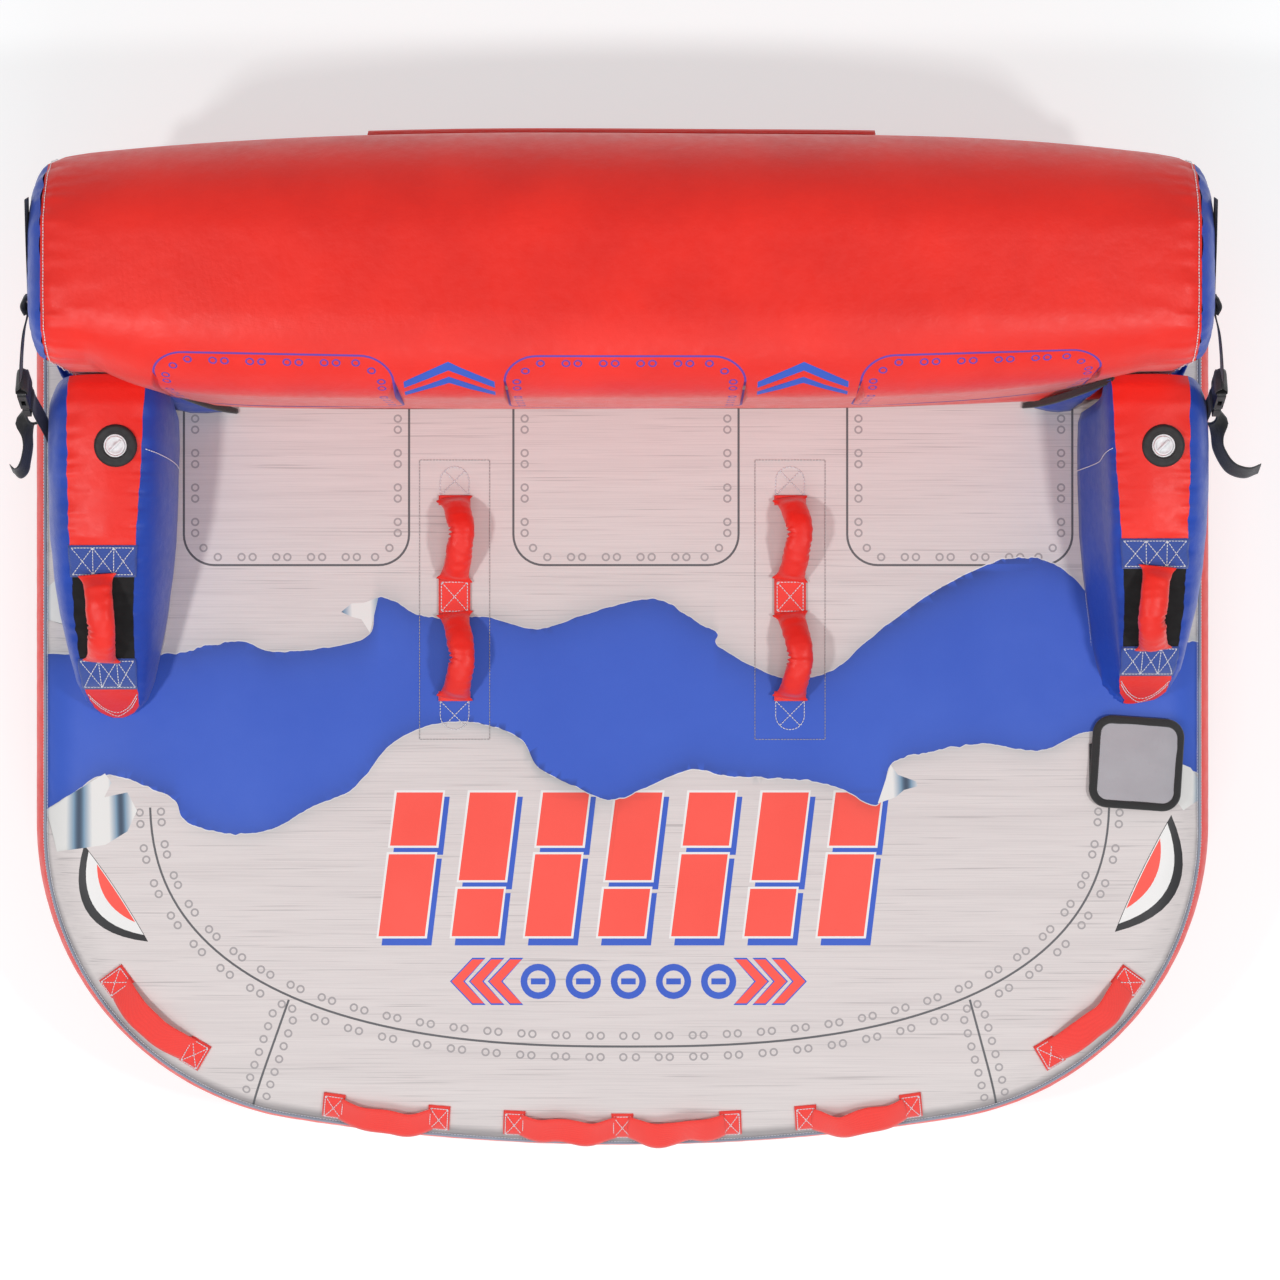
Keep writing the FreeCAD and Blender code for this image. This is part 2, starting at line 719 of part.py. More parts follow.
def flap_profile(low, high, reach):
    """Section across Y of a sheet that follows the deck and then its rim, reach from the hinge."""
    rim_x = deck_half_width - rim_radius
    x0 = deck_valve[0] + flap_offset - flap_half_size
    sweep = math.degrees(math.asin((x0 + reach - rim_x) / rim_radius))
    centre = V(rim_x, 0, rim_top_z)
    inner, outer = rim_radius + low, rim_radius + high

    def tip(radius):
        turn = math.radians(90 - sweep)
        return centre + V(radius * math.cos(turn), 0, radius * math.sin(turn))

    return Part.Wire(
        [
            line(V(x0, 0, deck_height + low), V(rim_x, 0, deck_height + low)),
            arc(centre, inner, 90, 90 - sweep, X_AXIS, Z_AXIS),
            line(tip(inner), tip(outer)),
            arc(centre, outer, 90 - sweep, 90, X_AXIS, Z_AXIS),
            line(V(rim_x, 0, deck_height + high), V(x0, 0, deck_height + high)),
            line(V(x0, 0, deck_height + high), V(x0, 0, deck_height + low)),
        ]
    )


def flap_sheet(low, high):
    sheet = Part.Face(flap_profile(low, high, 2 * flap_half_size))
    sheet = sheet.extrude(V(0, 2 * flap_half_size, 0))
    sheet.translate(V(0, deck_valve[1] - flap_half_size, 0))
    return sheet


def rounded_column(margin):
    """Tall column with the flap's outline, margin inside its edge."""
    half, radius = flap_half_size - margin, flap_corner - margin
    x, y = deck_valve[0] + flap_offset, deck_valve[1]
    column = box(x - half, x + half, y - half, y + half, 0, 2 * deck_height)
    upright = [e for e in column.Edges if e.BoundBox.ZLength > deck_height]
    return column.makeFillet(radius, upright)


def make_valve_flap():
    middle = flap_lift + flap_thickness / 2
    sheet = flap_sheet(middle - flap_thickness / 2, middle + flap_thickness / 2)
    thick = flap_sheet(middle - binding_thickness / 2, middle + binding_thickness / 2)
    inside = rounded_column(binding_width)
    save("valve_flap", sheet.common(inside))
    save("valve_flap_binding", thick.common(rounded_column(0.0)).cut(inside))
    x1 = deck_valve[0] + flap_offset - flap_half_size - cut_margin
    x0 = x1 - flap_hem_width
    y0, y1 = deck_valve[1] - flap_hem_length / 2, deck_valve[1] + flap_hem_length / 2
    save("valve_flap_hem", box(x0, x1, y0, y1, deck_height, deck_height + flap_hem_height))


def make_deck_valve():
    collar, valve, cap = valve_pieces((*deck_valve, deck_height))
    share("deck_valve_collars", collar)
    share("deck_valves", valve)
    save("deck_valve_cap", cap)


def make_back_valve():
    names = ("backrest_valve_collar", "backrest_valve", "backrest_valve_cap")
    for name, piece in zip(names, valve_pieces((back_valve[0], back_rear, back_valve[1]), Y_AXIS)):
        save(name, piece)


# ---------------------------------------------------------------- side straps and buckles


def buckle_frame():
    """Frame at the buckle's mouth. Local X is the way the socket leaves as the backrest folds."""
    reach = V(0, buckle_y - fold_axis_y, buckle_z - fold_axis_z)
    away = V(0, reach.z, -reach.y)
    return local_frame(V(strap_plane_x, buckle_y, buckle_z), away, X_AXIS)


def upright_edges(block, height):
    """The block's edges that stand along its own Z, over its full height."""
    return [e for e in block.Edges if e.BoundBox.ZLength > 0.9 * height]


def buckle_socket():
    half, deep = socket_width / 2, socket_depth / 2
    body = box(0, socket_length, -half, half, -deep, deep)
    body = body.makeFillet(socket_corner, upright_edges(body, socket_depth))
    wide, high = cavity_width / 2, cavity_depth / 2
    cavity = box(-cut_margin, cavity_length, -wide, wide, -high, high)
    slot = box(*socket_slot_x, -slot_half_length, slot_half_length, -deep, deep)
    reach, open_half = half + cut_margin, socket_window_depth / 2
    windows = box(*socket_window_x, -reach, reach, -open_half, open_half)
    return body.cut([cavity, slot, windows])


def buckle_plug():
    half, deep = plug_width / 2, plug_depth / 2
    base = box(-plug_length, -plug_mouth_gap, -half, half, -deep, deep)
    base = base.makeFillet(plug_corner, upright_edges(base, plug_depth))
    slots = [
        box(x, x + plug_slot_width, -slot_half_length, slot_half_length, -deep, deep)
        for x in plug_slot_starts
    ]
    y0, y1, high = prong_reach - prong_width, prong_reach, prong_depth / 2
    prongs = [box(-cut_margin, prong_length, *ends, -high, high) for ends in ((y0, y1), (-y1, -y0))]
    return base.cut(slots).fuse(prongs).removeSplitter()


def make_side_straps():
    place = buckle_frame()
    spot = place.multVec
    across = spot(V(0, 1, 0)) - spot(V(0, 0, 0))
    socket, plug = placed(buckle_socket(), place), placed(buckle_plug(), place)

    def strap(points):
        return bent_strip([spot(V(x, 0, z)) for x, z in points], across, strap_width, strap_thickness)

    lower = strap(lower_strap_route)
    bight = strap(strap_bight_route)
    front = V(back_half_length + end_strap_gap, *end_strap_front)
    rear = V(back_half_length + end_strap_gap, *end_strap_rear)
    sewn = ribbon(front, rear, (rear - front).cross(X_AXIS), strap_width, strap_thickness)
    start = spot(V(strap_span_start, 0, 0))
    run = front - start
    end = front + V(run).normalize() * strap_span_overlap
    span = ribbon(start, end, run.cross(X_AXIS), strap_width, 2 * strap_thickness)
    x0 = back_half_length + keeper_gap
    y0, y1 = front.y - keeper_half_y, front.y + keeper_half_y
    keeper = box(x0, x0 + keeper_thickness, y0, y1, front.z - keeper_half_z, front.z + keeper_half_z)
    upper = bight.fuse([sewn, span, keeper]).removeSplitter()
    upper = upper.cut(back_solid(-keeper_gap / 2))
    save("buckle_sockets", socket, mirrored(socket))
    save("buckle_plugs", plug, mirrored(plug))
    save("side_straps_lower", lower, mirrored(lower))
    save("side_straps_upper", upper, mirrored(upper))


# ---------------------------------------------------------------- zippers


def zip_pieces(y, z, half_length):
    """Tape with its coil, and the slider that runs on it, on a face that looks along +Y."""
    gap = zip_clearance
    foot_y, half_tape, half_coil = y + skin_gap, zip_tape_width / 2, coil_width / 2
    tape_y = foot_y + zip_tape_thickness
    coil_y = tape_y + coil_height
    coil_end = half_length - coil_end_margin
    tape = box(-half_length, half_length, foot_y, tape_y, z - half_tape, z + half_tape)
    coil = box(-coil_end, coil_end, tape_y, coil_y, z - half_coil, z + half_coil)

    def plate(half_x, y0, y1, low, high):
        return box(-half_x, half_x, y0, y1, z + low, z + high)

    top_y, groove_half = coil_y + slider_cover, half_coil + gap
    body = plate(slider_half_length, tape_y + gap, top_y, -slider_half_height, slider_half_height)
    groove = plate(slider_half_length + cut_margin, tape_y, coil_y + gap, -groove_half, groove_half)
    tab = plate(slider_tab_half_width, top_y, top_y + slider_tab_thickness, *slider_tab_z)
    return tape.fuse(coil).removeSplitter(), body.cut(groove).fuse(tab).removeSplitter()


def make_zippers():
    for owner, y, z in (("backrest", back_rear, back_zip_z), ("deck", deck_rear, deck_zip_z)):
        tape, slider = zip_pieces(y, z, zip_half_length)
        slider.translate(V(slider_park - zip_half_length, 0, 0))
        save(f"{owner}_zipper", tape)
        save(f"{owner}_zip_slider", slider)
    half = zip_half_length + zip_flap_overhang
    save("backrest_zip_flap", box(-half, half, *zip_flap_y, *zip_flap_z))
    hem = box(-half, half, back_rear + skin_gap, zip_flap_y[0] - zip_flap_gap, *zip_hem_z)
    save("backrest_zip_flap_hem", hem)


# ---------------------------------------------------------------- tow point


def rim_sector(half_width, angles):
    """Wedge of space in front of the lower rim, between two angles below level."""
    centre = V(-half_width, deck_front + rim_radius, rim_radius)
    points = [centre]
    for angle in (angles[0], sum(angles) / 2, angles[1]):
        turn = math.radians(angle)
        points.append(centre + V(0, -math.cos(turn), -math.sin(turn)) * tow_sector_reach)
    return prism(points, V(2 * half_width, 0, 0))


def make_tow_point():
    piping_room = lower_piping(piping_radius + piping_clearance)
    skin = deck_solid(-tow_pad_outer).cut(deck_solid(-tow_pad_inner))
    slot_angles = (tow_flange_angles[0] + tow_slot_trim, tow_flange_angles[1] - tow_slot_trim)
    slot = rim_sector(tow_eye_thickness / 2 + tow_slot_fit, slot_angles)
    pad = skin.common(rim_sector(tow_pad_half_width, tow_pad_angles)).cut([piping_room, slot])
    save("tow_pad", pad)
    turn = math.radians(tow_eye_angle)
    eye_y = deck_front + rim_radius - tow_eye_reach * math.cos(turn)
    eye_z = rim_radius - tow_eye_reach * math.sin(turn)
    centre = V(-tow_eye_thickness / 2, eye_y, eye_z)
    disc = Part.makeCylinder(tow_eye_radius, tow_eye_thickness, centre, X_AXIS)
    disc = disc.cut(deck_solid(-tow_disc_root))
    hole = Part.makeCylinder(tow_hole_radius, tow_eye_thickness, centre, X_AXIS)
    flange = deck_solid(-tow_pad_outer - tow_flange_thickness)
    flange = flange.cut(deck_solid(-tow_pad_outer - tow_flange_gap))
    flange = flange.common(rim_sector(tow_flange_half_width, tow_flange_angles))
    save("tow_eye", disc.fuse(flange).cut(hole).removeSplitter())


# ---------------------------------------------------------------- build

piping_room = upper_piping(piping_radius + piping_clearance)
patch_skin = deck_solid(-patch_thickness).cut([deck_solid(0.0), piping_room])

make_deck()
make_piping()
make_deck_valve()
make_valve_flap()
make_backrest()
make_back_valve()
make_hinge_strip()
make_arm("right", Part.Shape.copy, arm_valve_offset)
make_arm("left", mirrored, -arm_valve_offset)
make_gussets()
make_seat_handles()
make_front_handles()
make_side_straps()
make_zippers()
make_tow_point()
for node, pieces in shared_nodes.items():
    save(node, *pieces)
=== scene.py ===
"""Looks of the three-rider towable tube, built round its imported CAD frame. Metres, +Z up, +Y rearwards."""

import json
import math

import bpy
import numpy as np
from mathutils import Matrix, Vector, noise
from mathutils.geometry import delaunay_2d_cdt


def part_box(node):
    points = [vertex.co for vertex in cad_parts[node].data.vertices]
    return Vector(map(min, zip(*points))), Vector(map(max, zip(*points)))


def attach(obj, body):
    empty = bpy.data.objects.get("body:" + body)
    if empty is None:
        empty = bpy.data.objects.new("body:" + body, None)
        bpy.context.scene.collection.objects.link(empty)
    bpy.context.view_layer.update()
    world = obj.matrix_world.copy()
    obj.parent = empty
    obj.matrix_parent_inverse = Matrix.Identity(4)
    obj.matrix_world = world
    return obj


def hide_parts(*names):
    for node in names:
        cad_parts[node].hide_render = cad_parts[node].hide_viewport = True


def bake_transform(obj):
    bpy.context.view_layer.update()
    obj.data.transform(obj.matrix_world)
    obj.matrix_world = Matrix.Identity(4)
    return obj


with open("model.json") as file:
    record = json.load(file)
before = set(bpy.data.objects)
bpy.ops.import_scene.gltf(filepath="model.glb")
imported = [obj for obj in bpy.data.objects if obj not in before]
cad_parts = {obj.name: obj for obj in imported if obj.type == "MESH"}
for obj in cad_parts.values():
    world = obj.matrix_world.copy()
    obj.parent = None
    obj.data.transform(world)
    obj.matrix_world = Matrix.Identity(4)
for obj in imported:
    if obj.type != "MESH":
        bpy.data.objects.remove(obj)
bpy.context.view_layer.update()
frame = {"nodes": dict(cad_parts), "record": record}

UP, REARWARDS = Vector((0, 0, 1)), Vector((0, 1, 0))

# ---------------------------------------------------------------- sizes read from the frame

DECK_LOW, DECK_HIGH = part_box("deck_side_band")
DECK_HALF = DECK_HIGH.x
DECK_FRONT, DECK_REAR = DECK_LOW.y, DECK_HIGH.y
DECK_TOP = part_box("deck_cover_top")[1].z
RIM = 0.095
CORNER, CORNER_Y, REAR_CORNER = 0.500, -0.285, 0.150
RIM_TOP = DECK_TOP - RIM
SEAM = math.radians(40)
SEAM_INSET = RIM * (1 - math.cos(SEAM))
SEAM_Z = RIM_TOP + RIM * math.sin(SEAM)

BACK_LOW, BACK_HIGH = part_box("backrest_cover")
BACK_SEAM_X = BACK_HIGH.x
BACK_END_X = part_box("backrest_ends")[1].x
BACK_RADII = {"front_top": 0.130, "rear_top": 0.175, "bottom": 0.055}
BACK_END_RADIUS = 0.045

ARM_LOW, ARM_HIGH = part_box("arm_right_side_panels")
ARM_X = (ARM_LOW.x + ARM_HIGH.x) / 2
ARM_REAR = ARM_HIGH.y

PAD_LOW, PAD_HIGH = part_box("arm_right_knuckle_pad")
FLAP_LOW, FLAP_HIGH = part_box("valve_flap_binding")

# ---------------------------------------------------------------- node materials


class Nodes:
    """Short way to build one material's node tree."""

    def __init__(self, name):
        self.material = bpy.data.materials.new(name)
        self.material.use_nodes = True
        self.tree = self.material.node_tree
        self.shader = self.tree.nodes["Principled BSDF"]
        self.place = self.add("ShaderNodeNewGeometry").outputs["Position"]

    def add(self, kind, inputs=(), **settings):
        node = self.tree.nodes.new(kind)
        for key, value in settings.items():
            setattr(node, key, value)
        for key, value in dict(inputs).items():
            self.feed(node.inputs[key], value)
        return node

    def feed(self, socket, value):
        if isinstance(value, bpy.types.NodeSocket):
            self.tree.links.new(value, socket)
        else:
            socket.default_value = value

    def stretched(self, scale):
        """Position scaled by a different amount along each axis."""
        return self.add("ShaderNodeMapping", {"Vector": self.place, "Scale": scale}).outputs[0]

    def noise(self, scale, detail=3.0, vector=None, rough=0.5):
        fields = {"Vector": vector or self.place, "Scale": scale, "Detail": detail, "Roughness": rough}
        return self.add("ShaderNodeTexNoise", fields).outputs["Fac"]

    def math(self, operation, a, b=0.0):
        return self.add("ShaderNodeMath", {0: a, 1: b}, operation=operation).outputs[0]

    def span(self, value, low, high, to_low=0.0, to_high=1.0):
        fields = {"Value": value, "From Min": low, "From Max": high, "To Min": to_low, "To Max": to_high}
        return self.add("ShaderNodeMapRange", fields).outputs[0]

    def mix(self, factor, a, b, blend="MIX"):
        node = self.add("ShaderNodeMix", data_type="RGBA", blend_type=blend)
        self.feed(node.inputs["Factor"], factor)
        self.feed(node.inputs[6], a)
        self.feed(node.inputs[7], b)
        return node.outputs[2]

    def weave(self, threads_per_m):
        """Plain weave: crossed ridges that show on a face whichever way it looks."""
        waves = []
        for axis in ("X", "Y", "Z"):
            wave = self.add(
                "ShaderNodeTexWave",
                {"Vector": self.place, "Scale": threads_per_m / 6.2832 * 2, "Distortion": 0.3},
                wave_type="BANDS",
                bands_direction=axis,
            )
            waves.append(wave.outputs["Fac"])
        return self.math("MULTIPLY", self.math("ADD", self.math("ADD", *waves[:2]), waves[2]), 0.333)

    def bump(self, height, strength, distance, normal=None):
        fields = {"Height": height, "Strength": strength, "Distance": distance}
        if normal is not None:
            fields["Normal"] = normal
        return self.add("ShaderNodeBump", fields).outputs[0]

    def ink(self):
        """The print's own shadow, stored on the sheet's points."""
        return self.add("ShaderNodeAttribute", attribute_name="ink").outputs["Fac"]

    def painted_rim_shade(self):
        """How much painted shade a place gets down the rolled rim: 0 on top, 1 at the seam."""
        height = self.add("ShaderNodeSeparateXYZ", {0: self.place}).outputs["Z"]
        return self.span(height, DECK_TOP - 0.022, SEAM_Z)

    def printed_cloth(self, base, rough):
        creases = self.bump(self.noise(16.0, 4.0), 0.25, 0.004)
        threads = self.bump(self.weave(900.0), 0.2, 0.0004, creases)
        return self.finish(base, rough, threads, Sheen_Weight=0.1)

    def finish(self, colour, roughness, normal=None, **uniform):
        self.feed(self.shader.inputs["Base Color"], colour)
        self.feed(self.shader.inputs["Roughness"], roughness)
        if normal is not None:
            self.feed(self.shader.inputs["Normal"], normal)
        for key, value in uniform.items():
            self.shader.inputs[key.replace("_", " ")].default_value = value
        return self.material


def srgb(red, green, blue):
    """Linear colour, with alpha, from 8-bit screen values."""

    def linear(value):
        value /= 255
        return value / 12.92 if value <= 0.04045 else ((value + 0.055) / 1.055) ** 2.4

    return (linear(red), linear(green), linear(blue), 1.0)


def scaled(colour, factor):
    return (*(channel * factor for channel in colour[:3]), 1.0)


def coated_nylon(name, colour, dark, shine=0.42, sheen=0.15, weave=1100.0, creases=0.35):
    """Tight coated cloth: fine weave, broad colour drift and soft creases."""
    n = Nodes(name)
    drift = n.span(n.noise(7.0, 4.0), 0.3, 0.7)
    fleck = n.span(n.noise(900.0, 2.0), 0.3, 0.7)
    base = n.mix(n.math("MULTIPLY", drift, 0.55), colour, dark)
    base = n.mix(n.math("MULTIPLY", fleck, 0.10), base, scaled(colour, 1.25))
    folds = n.bump(n.noise(26.0, 5.0, rough=0.6), creases, 0.004)
    threads = n.bump(n.weave(weave), 0.22, 0.0004, folds)
    rough = n.span(n.noise(60.0, 4.0), 0.3, 0.7, shine - 0.06, shine + 0.08)
    return n.finish(base, rough, threads, Sheen_Weight=sheen, Sheen_Roughness=0.5, Specular_IOR_Level=0.4)


def webbing(name, colour, dark, ribs=520.0):
    """Flat woven webbing with strong ribs."""
    n = Nodes(name)
    ribbed = n.weave(ribs)
    fleck = n.span(n.noise(500.0, 3.0), 0.3, 0.7)
    base = n.mix(n.math("MULTIPLY", ribbed, 0.6), dark, colour)
    base = n.mix(n.math("MULTIPLY", fleck, 0.2), base, scaled(colour, 1.3))
    normal = n.bump(ribbed, 0.6, 0.0007, n.bump(n.noise(45.0, 3.0), 0.25, 0.002))
    rough = n.span(fleck, 0.0, 1.0, 0.6, 0.78)
    return n.finish(base, rough, normal, Sheen_Weight=0.25, Sheen_Roughness=0.6)


def moulded(name, colour, roughness=0.42, grain=1400.0):
    """Injection-moulded plastic or rubber with a fine grain and scuffs."""
    n = Nodes(name)
    scuff = n.span(n.noise(160.0, 5.0, rough=0.7), 0.45, 0.75)
    base = n.mix(n.math("MULTIPLY", scuff, 0.25), colour, scaled(colour, 1.8))
    rough = n.span(n.noise(90.0, 4.0), 0.3, 0.7, roughness - 0.08, roughness + 0.12)
    normal = n.bump(n.noise(grain, 2.0), 0.25, 0.0004)
    return n.finish(base, rough, normal, Specular_IOR_Level=0.5)


def cast_metal(name, colour):
    n = Nodes(name)
    wear = n.span(n.noise(220.0, 6.0, rough=0.65), 0.35, 0.7)
    base = n.mix(wear, scaled(colour, 0.7), colour)
    rough = n.span(wear, 0.0, 1.0, 0.25, 0.5)
    return n.finish(base, rough, n.bump(n.noise(600.0, 3.0), 0.3, 0.0005), Metallic=1.0)


def thread_material(name, colour):
    n = Nodes(name)
    twist = n.span(n.noise(2500.0, 2.0), 0.35, 0.65)
    base = n.mix(n.math("MULTIPLY", twist, 0.3), colour, scaled(colour, 0.6))
    return n.finish(base, 0.6, n.bump(twist, 0.5, 0.0003), Sheen_Weight=0.3)


def brushed_print(name, light, streak, shade):
    """Printed brushed-metal pattern: long thin streaks across the tube, with painted shade darker down the
    rim.
    """
    n = Nodes(name)
    fine = n.noise(1.0, 5.0, n.stretched((6.0, 760.0, 60.0)), 0.6)
    broad = n.noise(1.0, 3.0, n.stretched((1.6, 42.0, 12.0)), 0.5)
    lines = n.noise(1.0, 2.0, n.stretched((4.5, 330.0, 30.0)), 0.4)
    base = n.mix(n.span(fine, 0.45, 0.80), light, streak)
    base = n.mix(n.math("MULTIPLY", n.span(broad, 0.45, 0.75), 0.30), base, streak)
    base = n.mix(n.math("MULTIPLY", n.span(lines, 0.62, 0.74), 0.42), base, shade)
    # Painted shade: the brushed print turns darker down the rolled rim.
    base = n.mix(n.math("MULTIPLY", n.painted_rim_shade(), 0.75), base, shade)
    base = n.mix(n.ink(), base, srgb(140, 152, 158))
    return n.printed_cloth(base, n.span(broad, 0.3, 0.7, 0.5, 0.62))


def flat_print(name, colour, dark, drift=6.0):
    """One printed colour on the cover's cloth, with the cloth's weave, a drift in depth and painted shade
    down the rim.
    """
    n = Nodes(name)
    depth = n.span(n.noise(drift, 4.0), 0.3, 0.7)
    fleck = n.span(n.noise(800.0, 2.0), 0.3, 0.7)
    base = n.mix(n.math("MULTIPLY", depth, 0.35), colour, dark)
    base = n.mix(n.math("MULTIPLY", fleck, 0.12), base, scaled(colour, 1.3))
    base = n.mix(n.ink(), base, scaled(dark, 0.32))
    # Painted shade: every print colour darkens down the rolled rim.
    base = n.mix(n.math("MULTIPLY", n.painted_rim_shade(), 0.5), base, scaled(dark, 0.6))
    return n.printed_cloth(base, n.span(depth, 0.0, 1.0, 0.5, 0.62))


def curl_print(name):
    """Printed sheen of peeled-back metal: soft bands between near white and steel blue."""
    n = Nodes(name)
    band = n.add(
        "ShaderNodeTexWave",
        {"Vector": n.stretched((1.0, 0.35, 0.0)), "Scale": 4.4, "Distortion": 2.0, "Detail": 1.0},
        wave_type="BANDS",
    ).outputs["Fac"]
    base = n.mix(n.span(band, 0.35, 0.9), srgb(231, 229, 226), srgb(118, 150, 176))
    base = n.mix(n.span(band, 0.88, 1.0), base, srgb(60, 78, 100))
    threads = n.bump(n.weave(900.0), 0.2, 0.0004)
    return n.finish(base, n.span(band, 0.0, 1.0, 0.5, 0.6), threads, Sheen_Weight=0.1)


RED, RED_DARK = srgb(248, 42, 28), srgb(218, 28, 20)
BLUE, BLUE_DARK = srgb(20, 72, 184), srgb(12, 50, 148)

MATS = {
    "red": coated_nylon("red_nylon", RED, RED_DARK),
    "blue": coated_nylon("blue_nylon", BLUE, BLUE_DARK),
    "black_base": coated_nylon("black_base_cloth", srgb(38, 38, 40), srgb(26, 26, 28), 0.6, 0.1, 700.0),
    "flap_grey": coated_nylon("grey_flap_cloth", srgb(172, 168, 173), srgb(156, 152, 158), 0.6, 0.1),
    "neoprene": coated_nylon("black_neoprene", srgb(24, 23, 24), srgb(15, 15, 16), 0.85, 0.05, 800.0, 0.15),
    "red_webbing": webbing("red_webbing", srgb(252, 66, 54), srgb(238, 42, 34)),
    "blue_webbing": webbing("blue_webbing", srgb(50, 86, 172), srgb(28, 58, 140)),
    "black_webbing": webbing("black_webbing", srgb(34, 33, 35), srgb(14, 14, 15)),
    "binding": webbing("black_binding", srgb(26, 25, 26), srgb(12, 12, 13), 800.0),
    "piping": coated_nylon("grey_piping", srgb(150, 156, 172), srgb(120, 126, 142), 0.6, 0.2),
    "thread": thread_material("white_thread", srgb(232, 232, 238)),
    "grey_thread": thread_material("grey_thread", srgb(176, 172, 172)),
    "buckle": moulded("buckle_acetal", srgb(30, 29, 31), 0.38),
    "rubber": moulded("black_rubber", srgb(36, 35, 36), 0.6, 700.0),
    "valve": moulded("white_valve", srgb(228, 228, 230), 0.35),
    "metal": cast_metal("cast_tow_eye", srgb(190, 192, 196)),
    "zip_metal": moulded("black_zip_slider", srgb(30, 30, 32), 0.3, 300.0),
    "vinyl": moulded("bladder_vinyl", srgb(120, 124, 130), 0.3, 200.0),
    "grey": brushed_print("print_brushed", srgb(222, 213, 211), srgb(203, 194, 193), srgb(138, 131, 133)),
    "band": flat_print("print_blue", srgb(50, 92, 200), srgb(42, 80, 186)),
    "line": flat_print("print_line", srgb(98, 97, 100), srgb(80, 80, 84)),
    "ring": flat_print("print_ring", srgb(168, 161, 162), srgb(152, 146, 148)),
    "ink_red": flat_print("print_red", srgb(252, 84, 70), srgb(244, 74, 60)),
    "ink_white": flat_print("print_white", srgb(238, 236, 234), srgb(228, 226, 226)),
    "ink_black": flat_print("print_black", srgb(40, 39, 42), srgb(26, 26, 28)),
    "purple": flat_print("print_violet_line", srgb(104, 62, 168), srgb(88, 48, 150)),
    "curl": curl_print("print_peeled_metal"),
}

KEYS = {material.name: key for key, material in MATS.items()}

# ---------------------------------------------------------------- mesh helpers


def add_object(name, vertices, faces, materials, slots=None, smooth=True):
    mesh = bpy.data.meshes.new(name)
    mesh.from_pydata([tuple(v) for v in vertices], [], faces)
    for key in materials:
        mesh.materials.append(MATS[key])
    if slots is not None:
        mesh.polygons.foreach_set("material_index", np.asarray(slots, np.int32))
    mesh.polygons.foreach_set("use_smooth", np.full(len(mesh.polygons), smooth))
    mesh.update()
    piece = bpy.data.objects.new(name, mesh)
    bpy.context.scene.collection.objects.link(piece)
    return piece


def net_faces(rows, lanes, loop_rows=False, loop_lanes=False):
    """Quads over a net of vertices stored row by row, which may close on itself either way."""
    faces = []
    for i in range(rows if loop_rows else rows - 1):
        a, b = i * lanes, (i + 1) % rows * lanes
        for k in range(lanes if loop_lanes else lanes - 1):
            m = (k + 1) % lanes
            faces.append((a + k, a + m, b + m, b + k))
    return faces


def ring_cap(ring, lanes):
    """One many-sided face over a ring of a tube."""
    return tuple(ring * lanes + k for k in range(lanes))


def thicken(piece, thickness, offset=-1.0):
    """Gives cloth its thickness: inwards at offset -1, half to each side at 0."""
    shell = piece.modifiers.new("thickness", "SOLIDIFY")
    shell.thickness, shell.offset = thickness, offset
    return apply_modifiers(piece)


def joint(name):
    return next(row for row in frame["record"]["behaviour"]["joints"] if row["name"] == name)


def settle(piece, body, slot, *nodes):
    """Fasten a finished piece to its body and hide the CAD nodes it stands for. The slot argument is not
    used.
    """
    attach(piece, body)
    if nodes:
        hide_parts(*nodes)
    return piece


def apply_modifiers(piece):
    graph = bpy.context.evaluated_depsgraph_get()
    mesh = bpy.data.meshes.new_from_object(piece.evaluated_get(graph))
    piece.modifiers.clear()
    piece.data = mesh
    return piece


def catmull(points, steps):
    """Smooth curve through points, steps to each span."""
    pts = [Vector(p) for p in points]
    pts = [pts[0] * 2 - pts[1]] + pts + [pts[-1] * 2 - pts[-2]]
    out = []
    for a, b, c, d in zip(pts, pts[1:], pts[2:], pts[3:]):
        for k in range(steps):
            t = k / steps
            bend, twist = 2 * a - 5 * b + 4 * c - d, 3 * b - a - 3 * c + d
            out.append(0.5 * (2 * b + (c - a) * t + bend * t**2 + twist * t**3))
    out.append(pts[-2].copy())
    return out


def ramp(x, table):
    """Value at x from a table of (x, value) rows, straight between them."""
    return float(np.interp(x, [row[0] for row in table], [row[1] for row in table]))


def clamp(value):
    return min(max(value, 0.0), 1.0)


def eased(t):
    """Slow start and slow end between 0 and 1."""
    return t * t * (3 - 2 * t)


def sweep(name, path, across, section, material, closed=False):
    """Solid swept along path. section(t) gives (side, up) offsets round the piece at t from 0 to 1.
    across gives the side direction, one for the whole path or one at each point."""
    count = len(path)
    sides = across if isinstance(across, list) else [across] * count
    vertices = []
    for i, point in enumerate(path):
        before = path[i - 1] if closed or i else path[0]
        after = path[(i + 1) % count] if closed or i < count - 1 else path[-1]
        along = (after - before).normalized()
        side = Vector(sides[i])
        side = (side - along * side.dot(along)).normalized()
        up = side.cross(along)
        t = i / (count if closed else count - 1)
        for a, b in section(t):
            vertices.append(point + side * a + up * b)
    ring = len(section(0.0))
    faces = net_faces(count, ring, closed, True)
    if not closed:
        faces += [ring_cap(0, ring)[::-1], ring_cap(count - 1, ring)]
    return add_object(name, vertices, faces, [material])


def strap_section(width, thickness, crown=0.0, steps=9):
    """Section of flat webbing with soft edges."""
    half, h = width / 2, thickness / 2
    row = [half * (2 * k / (steps - 1) - 1) for k in range(steps)]
    top = [(x * (1 - 0.01), h + crown * (1 - (x / half) ** 2)) for x in row]
    top[0], top[-1] = (-half, h * 0.35), (half, h * 0.35)
    low = [(x, y - thickness) for x, y in top]
    low[0], low[-1] = (-half, -h * 0.35), (half, -h * 0.35)
    return top[::-1] + low


